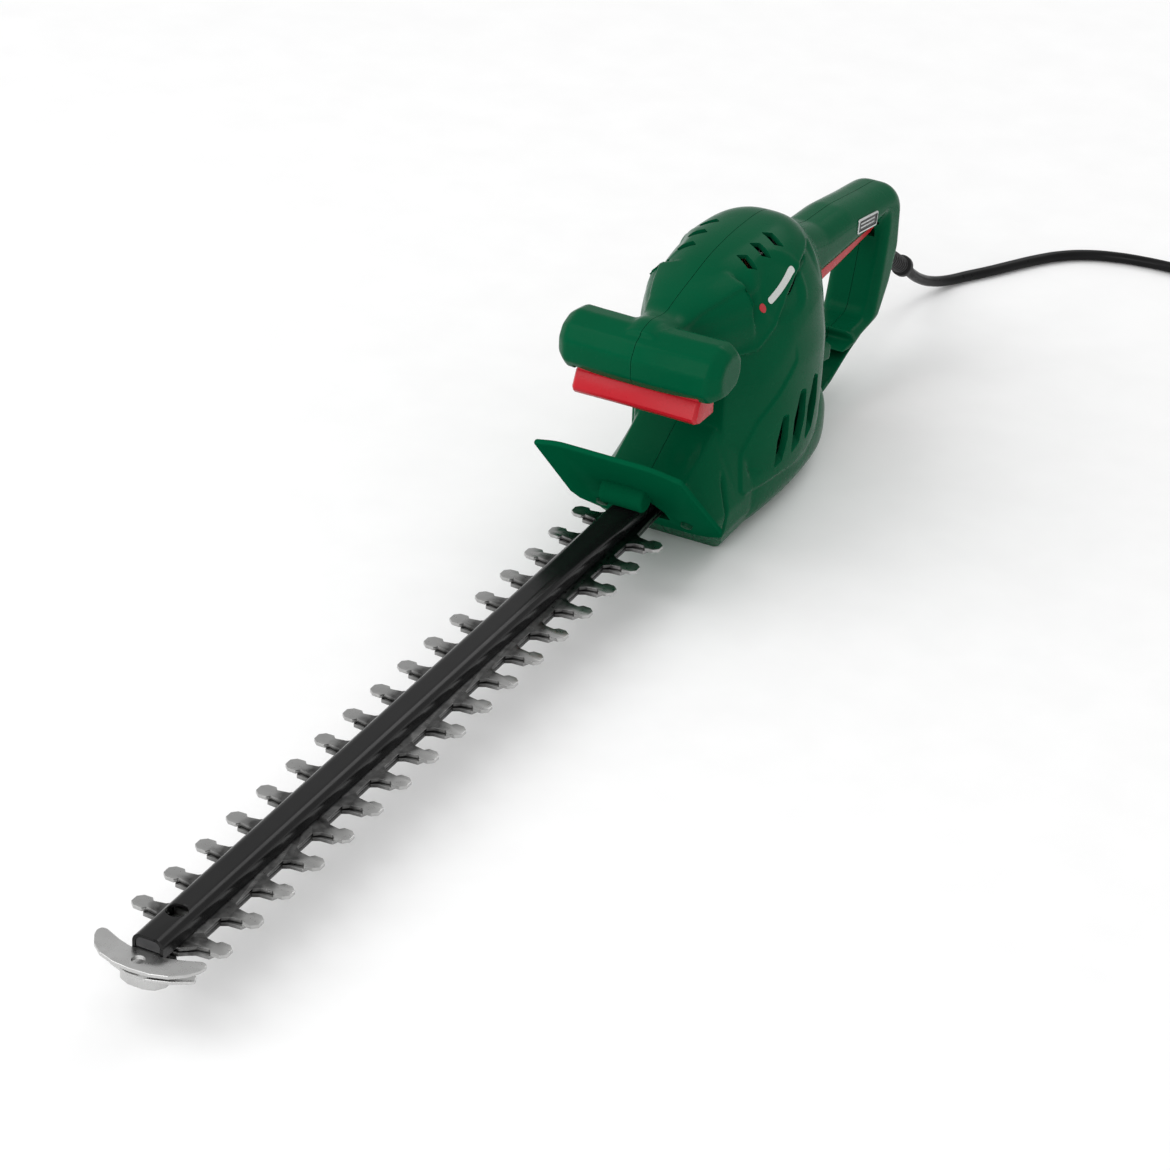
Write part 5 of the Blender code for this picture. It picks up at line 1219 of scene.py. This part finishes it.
@dataclass
class HandGuard:
    """The swept hand guard with its round rest over the blade mouth."""

    half: float = 44.0
    high: float = 80.4
    thick: float = 3.0
    foot: tuple[float, float] = (32.0, -10.0)
    lean: float = 44.2
    bar_top: float = 12.0
    base_top: float = -4.55

    def axes(self) -> np.ndarray:
        """The guard's own axes as columns: across, up its slope, and out of its front."""
        lean = math.radians(self.lean)
        return np.array([
            (1.0, 0.0, 0.0), (0.0, -math.sin(lean), -math.cos(lean)), (0.0, math.cos(lean), -math.sin(lean)),
        ])

    def leaned(self, shape: Shape) -> Shape:
        """A shape in the guard's own axes, moved to where the guard stands."""
        return Shape(shape.rings @ self.axes().T + (0.0, *self.foot))

    def build(self, datum: Datum) -> bpy.types.Object:
        """Make the guard and return it."""
        half, high = self.half, self.high
        outline = rounded(
            np.array([
                (-half + 2, -1), (-half * 0.62, -9), (half * 0.62, -9), (half - 2, -1), (half + 1, 8),
                (half - 1.2, high),
                (half * 0.62, high + 8), (-half * 0.62, high + 8), (-half + 1.2, high), (-half - 1, 8),
            ]),
            np.array([3, 25, 25, 3, 4, 3, 25, 25, 3, 4], float), 8,
        )
        plate = self.leaned(layered(outline, -self.thick, 0.0, 1.2, Axis.Z, 4)).mesh("plate", datum)
        mouth_high = (self.bar_top + 1.2 - self.foot[1]) / math.cos(math.radians(self.lean))
        t = np.linspace(0.0, math.pi / 2, 7)
        bead = np.column_stack([5.5 + 2.0 * np.sin(t), -10.5 - 2.0 * np.cos(t)])
        bead = np.vstack([[(0.4, -12.5)], bead, bead[::-1] * (1, -1), [(0.4, 12.5)]])
        rest = self.leaned(lathed(bead, (0, mouth_high + 9.5, 2.0), (1, 0, 0), 56)).mesh("rest", datum)
        behind = self.leaned(block((-100, -100, -50), (100, 200, -self.thick * 0.5))).mesh("behind", datum)
        carved(plate, [carved(rest, [behind])], "UNION")
        mouth = rounded(
            np.array([
                (-15, self.base_top - 1), (15, self.base_top - 1), (15, 3.4), (10, self.bar_top + 1.2),
                (-10, self.bar_top + 1.2), (-15, 3.4),
            ]),
            1.4, 4,
        )
        cutters = [layered(mouth, -60, 60, THROUGH_CUT, Axis.Y, 1).mesh("mouth", datum)]
        for side in (-1, 1):
            way = lathed(np.array([(2.1, -9.0), (2.1, 9.0)]), (side * 25.0, 8.0, 0.0), (0, 0, 1), 28)
            cutters.append(self.leaned(way).mesh("way", datum))
        guard = smoothed(carved(plate, cutters), 36)
        return place_piece(guard, "swept_hand_guard", Body.FRAME, GREEN_GUARD, ("hand_guard",))


@dataclass
class Switches:
    """The red bar under the crossbar and the red trigger under the rear grip."""

    bar_half: float = 36.0
    trigger_half: float = 8.0

    def build_bar(self, datum: Datum) -> bpy.types.Object:
        """Make the front switch bar, a stepped section that bows back by 3 |s|^1.6 mm towards its ends."""
        section = np.array([
            (6.2, 68.7), (2.2, 69.2), (0.3, 71.2), (0.0, 72.8), (3.6, 80.4), (4.8, 81.4), (4.8, 84.5),
            (22, 84.5), (22, 68.3),
        ])
        share = np.sin(np.linspace(-math.pi / 2, math.pi / 2, 61))
        bow = 5.0 * np.abs(share) ** 1.6
        front = 2.0 * ease(np.abs(share), 0.955, 1.0)
        y = section[:, 0] + 0.6 * bow[:, None] + front[:, None] * (section[:, 0] < 6)
        z = section[:, 1] - 0.4 * bow[:, None]
        x = np.broadcast_to((share * self.bar_half)[:, None], y.shape)
        bar = eased_edges(Shape(np.stack([x, y, z], 2)).mesh("bar", datum), 0.9, 3, 28)
        return place_piece(
            smoothed(bar, 30), "red_switch_bar", Body.SWITCH_BAR, RED_SWITCH, ("front_switch_bar",)
        )

    def build_trigger(self, datum: Datum) -> bpy.types.Object:
        """Make the rear trigger, a long outline as wide as the fingers with rounded rims."""
        outline = rounded(
            np.array([
                (209, 52.5), (250, 54), (292, 56.5), (304.4, 58.8), (304.4, 66.2), (297, 66.2), (295, 64.5),
                (209, 64.5),
            ]),
            np.array([3, 20, 2, 2.5, 0.5, 0.5, 0.5, 1.0]), 8,
        )
        half = self.trigger_half
        trigger = layered(outline, -half, half, 1.6, Axis.X, 5).mesh("trigger", datum)
        return place_piece(
            smoothed(trigger, 30), "red_trigger", Body.TRIGGER, RED_SWITCH, ("rear_trigger",)
        )


@dataclass
class Marks:
    """Plain decoration without lettering: a stripe and a dot on the dome, and a small framed label."""

    stripe: tuple[float, float, float, float] = (96.0, 98.0, 30.0, 3.6)
    stripe_slope: float = 17.0
    label: tuple[float, float] = (266.0, 75.6)
    label_slope: float = -9.0

    def on_side(
        self, outline: np.ndarray, name: str, shell: bpy.types.Object, datum: Datum
    ) -> bpy.types.Object:
        """Lay a thin outline on the left side of a shell.

        Args:
            outline: (y, z) points.
            name: the object's name.
            shell: the half of the housing that it lies on.
            datum: where the trimmer's datum lies.

        Returns:
            The print as a closed film a quarter of a millimetre thick.
        """
        outline = evenly(anticlockwise(outline), 120)
        centre = outline.mean(0)
        grow = np.linspace(0.04, 1.0, 9)
        flat = centre + (outline - centre) * grow[:, None, None]
        points = np.concatenate([np.full((*flat.shape[:2], 1), 70.0), flat], 2).reshape(-1, 3)
        rows, columns = flat.shape[:2]
        i, j = np.meshgrid(np.arange(rows - 1), np.arange(columns), indexing="ij")
        k = (j + 1) % columns
        quads = np.stack([i * columns + j, (i + 1) * columns + j, (i + 1) * columns + k, i * columns + k], 2)
        film = surface(name, datum.metres(points), quads.reshape(-1, 4).tolist() + [list(range(columns))])
        wrap = film.modifiers.new("wrap", "SHRINKWRAP")
        wrap.wrap_method = "PROJECT"
        wrap.use_project_x = True
        wrap.use_negative_direction = True
        wrap.use_positive_direction = False
        wrap.target = shell
        wrap.offset = 0.12 * MM
        skin = film.modifiers.new("skin", "SOLIDIFY")
        skin.thickness = 0.3 * MM
        skin.offset = 0.0
        settled(film)
        return smoothed(film, 40)

    def build(self, datum: Datum, shell: bpy.types.Object) -> list[bpy.types.Object]:
        """Make the stripe, the dot, the label's rim and its plate.

        Args:
            datum: where the trimmer's datum lies.
            shell: the left half of the housing.

        Returns:
            The pieces.
        """
        y, z, length, high = self.stripe
        slope = math.radians(self.stripe_slope)
        swing = np.array([(math.cos(slope), -math.sin(slope)), (math.sin(slope), math.cos(slope))])
        box = np.array([(0, 0), (length, 0), (length, high), (0, high)], float)
        bar = rounded(box, high * 0.45, 6) @ swing.T + (y, z)
        turn = np.linspace(0, 2 * math.pi, 28, endpoint=False)
        dot = np.column_stack([np.cos(turn), np.sin(turn)]) * 2.3
        dot = dot + np.array([-5.5, high / 2]) @ swing.T + (y, z)
        stripe = self.on_side(bar, "stripe", shell, datum)
        spot = self.on_side(dot, "dot", shell, datum)
        made = [
            place_piece(stripe, "dome_stripe", Body.FRAME, PALE_PRINT),
            place_piece(spot, "dome_dot", Body.FRAME, RED_PRINT),
        ]
        tilt = math.radians(self.label_slope)
        tilt = np.array([(math.cos(tilt), -math.sin(tilt)), (math.sin(tilt), math.cos(tilt))])
        label = np.array([(-14, -4.4), (14, -4.4), (14, 4.4), (-14, 4.4)]) @ tilt.T + self.label
        outer, inner = rounded(label, 1.6, 5), rounded(drawn_in(label, 1.1), 0.9, 5)
        rim = layered(outer, 15.7, 16.75, 0.35, Axis.X, 3).mesh("rim", datum)
        carved(rim, [layered(inner, 15.0, 20.0, THROUGH_CUT, Axis.X, 1).mesh("inner", datum)])
        made.append(place_piece(smoothed(rim), "label_rim", Body.FRAME, SILVER_RIM))
        plate = layered(drawn_in(inner, 0.15), 15.7, 16.3, 0.1, Axis.X, 2).mesh("plate", datum)
        made.append(
            place_piece(smoothed(plate), "label_plate", Body.FRAME, INNER_FINISHES[Slot.BLACK])
        )
        for i, level in enumerate((-1.1, 1.1), 1):
            low, high = level - 0.45, level + 0.45
            bar = np.array([(-10, low), (10, low), (10, high), (-10, high)]) @ tilt.T
            bar = rounded(bar + self.label, 0.3, 3)
            line = layered(bar, 16.2, 16.45, 0.05, Axis.X, 2).mesh("line", datum)
            made.append(place_piece(smoothed(line), f"label_line_{i}", Body.FRAME, SILVER_RIM))
        return made


# ----------------------------------------------------------------------------------------------- cutting bar


@dataclass
class CuttingBar:
    """The black bar, the two toothed blades, the tip guard and the strip under them."""

    pitch: float = 26.5
    teeth: int = 17
    reach: float = 29.1
    valley: float = 12.0
    blade_thick: float = 2.0
    blade_gap: float = 0.3
    throw: float = 5.0
    rest_offset: float = 0.4
    bar_half: float = 8.0
    bar_top: float = 12.0
    bar_wall: float = 1.5
    bar_front: float = -458.0
    tip_front: float = -473.0
    tip_half: float = 28.0
    rail_low: float = 2.45
    gear_y: float = 85.0

    def tip_bolt(self) -> float:
        """Where the front bolt stands."""
        return self.bar_front + 24.0

    def bolts(self) -> list[tuple[float, float, float]]:
        """First place, last place and radius of each bolt or pair of bolts that passes through the blades."""
        tip = self.tip_bolt()
        singles = [tip * (4 - i) / 4 - 4.0 * i for i in range(1, 4)]
        return [(y, y, 2.0) for y in (tip, *singles)] + [(44.0, 54.0, 2.5)]

    def blade(
        self, shape: np.ndarray, offset: float, travel: tuple[float, float]
    ) -> tuple[np.ndarray, list[np.ndarray]]:
        """A blade's outline and the outlines of its holes.

        Tooth i of a side is the tooth's shape moved to (i - 16) pitches, the left side's half a pitch further
        forward; the right side is the same mirrored.

        Args:
            shape: (x, y) points of one tooth, from its front root round its tip.
            offset: how far back the blade has stopped.
            travel: how far it can go back and forwards from there.

        Returns:
            The outline, and a list of hole outlines.
        """
        back, forwards = travel
        centre = (np.arange(self.teeth) - self.teeth + 1) * self.pitch + offset
        sides = []
        for side in (1, -1):
            shift = -self.pitch / 2 if side > 0 else 0.0
            teeth = shape[None] * (side, 1.0) + np.stack([np.zeros(self.teeth), centre + shift], 1)[:, None]
            sides.append(teeth.reshape(-1, 2))
        front = centre[0] - self.pitch / 2 - 9.0
        yoke = self.gear_y + (self.rest_offset if back < forwards else -self.rest_offset)
        half_y, half_x = 7.5 + 2 * self.throw + 0.8, 7.5 + self.throw + 0.7
        outer = half_x + 5.0
        tail = np.array([
            (10.5, 17 + offset), (10.5, yoke - half_y - 7), (outer, yoke - half_y + 1),
            (outer, yoke + half_y + 1), (outer - 4, yoke + half_y + 5),
        ])
        right = np.vstack([[(8.5, front)], sides[0], tail])
        left = np.vstack([[(-8.5, front)], sides[1], tail * (-1, 1)])
        holes = []
        turn = np.linspace(0, math.pi, 9)
        for first, last, radius in self.bolts():
            r = radius + 0.5
            cap = np.column_stack([r * np.cos(turn), r * np.sin(turn)])
            holes.append(np.vstack([cap + (0, last + forwards), -cap + (0, first - back)]))
        window = np.array([(-half_x, -half_y), (half_x, -half_y), (half_x, half_y), (-half_x, half_y)])
        holes.append(rounded(window + (0, yoke), 5.0, 6))
        return np.vstack([right, left[::-1]]), holes

    def build_blades(self, datum: Datum) -> list[bpy.types.Object]:
        """Make both blades and return them."""
        v, r = self.valley, self.reach
        paddle = np.array([
            (v, -6.4), (v + 2.8, -4.0), (r - 8.6, -2.9), (r - 7.0, -4.9), (r - 2.6, -4.7), (r, -2.2),
        ])
        paddle = np.vstack([paddle, paddle[::-1] * (1, -1)])
        point = np.array([(v, -6.2), (v + 3.0, -4.4), (v + 9.4, -3.9), (v + 11.0, 0.0)])
        point = np.vstack([point, point[-2::-1] * (1, -1)])
        far, near = self.throw + self.rest_offset, self.throw - self.rest_offset
        upper = self.blade_gap / 2
        # The lower blade gets the darker copy of the steel, which is painted shade under the upper blade and
        # the bar.
        jobs = (
            ("upper_blade", paddle, 0.0, (near, far), upper, Body.UPPER_CUTTER, TOOTH_STEEL),
            (
                "lower_blade", point, -2 * self.rest_offset, (far, near), -upper - self.blade_thick,
                Body.LOWER_CUTTER, SHADED_LOWER_STEEL,
            ),
        )
        made = []
        for name, tooth, offset, travel, low, body, finish in jobs:
            outline, holes = self.blade(tooth, offset, travel)
            outline, top = rounded(outline, 0.6, 3), low + self.blade_thick
            strip = layered(outline, low, top, 0.28, Axis.Z, 2).mesh(name, datum)
            cutters = [
                layered(hole, low - 3, low + 5, THROUGH_CUT, Axis.Z, 1).mesh("hole", datum) for hole in holes
            ]
            carved(strip, cutters)
            smoothed(strip, 30)
            made.append(place_piece(strip, f"{name}_ground", body, finish, (name,)))
        return made

    def build_bar(self, datum: Datum) -> bpy.types.Object:
        """Make the bar: an upturned channel with rounded shoulders, carried along the blades."""
        half, top, low, wall = self.bar_half, self.bar_top, self.rail_low, self.bar_wall
        corners = np.array([(half, low), (half, top), (-half, top), (-half, low)])
        outer = rounded(corners, np.array([0.3, 5.2, 5.2, 0.3]), 12)
        inside, roof = half - wall, top - wall
        corners = np.array([(-inside, low), (-inside, roof), (inside, roof), (inside, low)])
        inner = rounded(corners, np.array([0.3, 3.7, 3.7, 0.3]), 12)
        section = np.vstack([outer, inner])
        y = np.array([self.bar_front, self.bar_front + 0.4, 59.6, 60.0])
        rings = np.stack([np.insert(section, 1, place, axis=1) for place in y])
        bar = Shape(rings).mesh("bar", datum)
        cutters = []
        for place, radius in ((self.tip_bolt(), 5.0), (44.0, 2.8), (54.0, 2.8)):
            hole = np.array([
                (radius, top - 2.5), (radius, top - 0.45), (radius + 0.45, top + 0.02), (radius + 0.5, 20.0),
            ])
            cutters.append(lathed(hole, (0.0, place, 0.0), (0, 0, 1), 48).mesh("hole", datum))
        corners = np.array([(6.3, 4.7), (6.3, 10.3), (-6.3, 10.3), (-6.3, 4.7)])
        plug = rounded(corners, np.array([0.3, 3.4, 3.4, 0.3]), 10)
        plug = layered(plug, self.bar_front + 0.15, self.bar_front + 7.0, 0.5, Axis.Y, 3).mesh("end", datum)
        place_piece(smoothed(plug), "bar_end_plug", Body.FRAME, INNER_FINISHES[Slot.BLACK])
        bar = smoothed(carved(bar, cutters), 34)
        return place_piece(bar, "enamelled_guide_bar", Body.FRAME, BAR_PAINT, ("guide_bar",))

    def build_tip(self, datum: Datum) -> bpy.types.Object:
        """Make the flat crescent at the front of the bar, with a hole for the front bolt and one near its
        front.
        """
        tongue = self.bar_half - self.bar_wall - 0.3
        front, rear, half = self.tip_front, self.bar_front, self.tip_half
        side = np.array([
            (tongue, self.tip_bolt() + 6.5), (tongue, rear - 0.6), (self.bar_half + 1.2, rear - 0.2),
            (half * 0.55, rear + 1.6), (half - 3.4, rear + 5.6), (half - 0.8, rear + 5.2),
            (half, rear + 2.6), (half - 0.9, rear - 0.8),
            (half - 4.5, front + 8.4), (half - 10.5, front + 3.6), (half - 19, front + 0.7),
        ])
        outline = np.vstack([side, [(0, front)], side[::-1] * (-1, 1)])
        outline, low = rounded(outline, 2.2, 5), self.rail_low
        tip = layered(outline, low, low + 2.0, 0.4, Axis.Z, 3).mesh("tip", datum)
        cutters = [
            lathed(np.array([(r, 0.0), (r, 8.0)]), (0.0, y, 0.0), (0, 0, 1), 40).mesh("hole", datum)
            for y, r in ((self.tip_bolt(), 2.3), (front + 7.6, 3.2))
        ]
        tip = smoothed(carved(tip, cutters), 34)
        return place_piece(tip, "crescent_tip_guard", Body.FRAME, PRESSED_STEEL, ("tip_guard",))

    def build_strip(self, datum: Datum) -> bpy.types.Object:
        """Make the strip under the blades with its turned-down lip at the front."""
        top, low = -2.45, -4.25
        nose = np.array([
            (-7, 58), (-7, self.bar_front + 12), (-13, self.bar_front + 5), (-23, self.bar_front + 3.5),
            (-24.5, self.bar_front - 0.5), (-15, self.tip_front + 8.5), (-5, self.tip_front + 5),
        ])
        outline = rounded(np.vstack([nose, nose[::-1] * (-1, 1)]), 1.6, 4)
        strip = layered(outline, low, top, 0.35, Axis.Z, 3).mesh("strip", datum)
        lip = np.array([
            (-12, 3), (-12, -4), (-9, -8.2), (-4, -10.2), (4, -10.2), (9, -8.2), (12, -4), (12, 3),
        ])
        lip = layered(rounded(lip + (0, self.bar_front), 1.2, 4), low - 4.5, top - 0.5, 0.8, Axis.Z, 4)
        carved(strip, [lip.mesh("lip", datum)], "UNION")
        holes = [
            lathed(
                np.array([(radius + 0.3, -8.0), (radius + 0.3, 0.0)]), (0.0, y, 0.0), (0, 0, 1), 24
            ).mesh("hole", datum)
            for first, last, radius in self.bolts() for y in {first, last}
        ]
        strip = smoothed(carved(strip, holes), 34)
        return place_piece(
            strip, "lower_guide_strip", Body.FRAME, PRESSED_STEEL, ("guide_strip",)
        )


# ------------------------------------------------------------------------------------------------------ kept


class KeptNodes:
    """The frame's nodes that stay as they are and only get a finish."""

    SPECIAL = {"guard_screw_left": GREEN_PAINTED, "guard_screw_right": GREEN_PAINTED}

    @staticmethod
    def slots() -> dict[str, Slot]:
        """The slot of each node, read from the first material of its mesh."""
        found = {}
        for name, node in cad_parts.items():
            label = node.data.materials[0].name if node.data.materials else ""
            match = [slot for slot in Slot if label.startswith(slot.value)]
            found[name] = match[0] if match else Slot.ZINC
        return found

    @classmethod
    def dress(cls) -> None:
        """Dress every node that is still shown."""
        for name, slot in cls.slots().items():
            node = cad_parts[name]
            if not node.hide_render:
                finish = cls.SPECIAL.get(name, INNER_FINISHES[slot])
                finish.dress(node)
                log.info("%s: kept, %s", name, finish.name)


def main() -> None:
    """Build the trimmer's looks around the frame."""
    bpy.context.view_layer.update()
    housing = Housing()
    datum = Datum.of_frame(housing.handle_rear, housing.belly)
    Viewpoint().build(datum)
    lead = MainsLead()
    plug = lead.build_plug(datum)
    lead.build_lead(datum)
    lead.build_boot(datum)
    halves = housing.build(datum, lead)
    HandGuard().build(datum)
    switches = Switches()
    switches.build_bar(datum)
    switches.build_trigger(datum)
    Marks().build(datum, halves[1])
    cutting = CuttingBar()
    cutting.build_bar(datum)
    cutting.build_blades(datum)
    cutting.build_tip(datum)
    cutting.build_strip(datum)
    KeptNodes.dress()
    Studio().build()


if __name__ == "__main__":
    main()
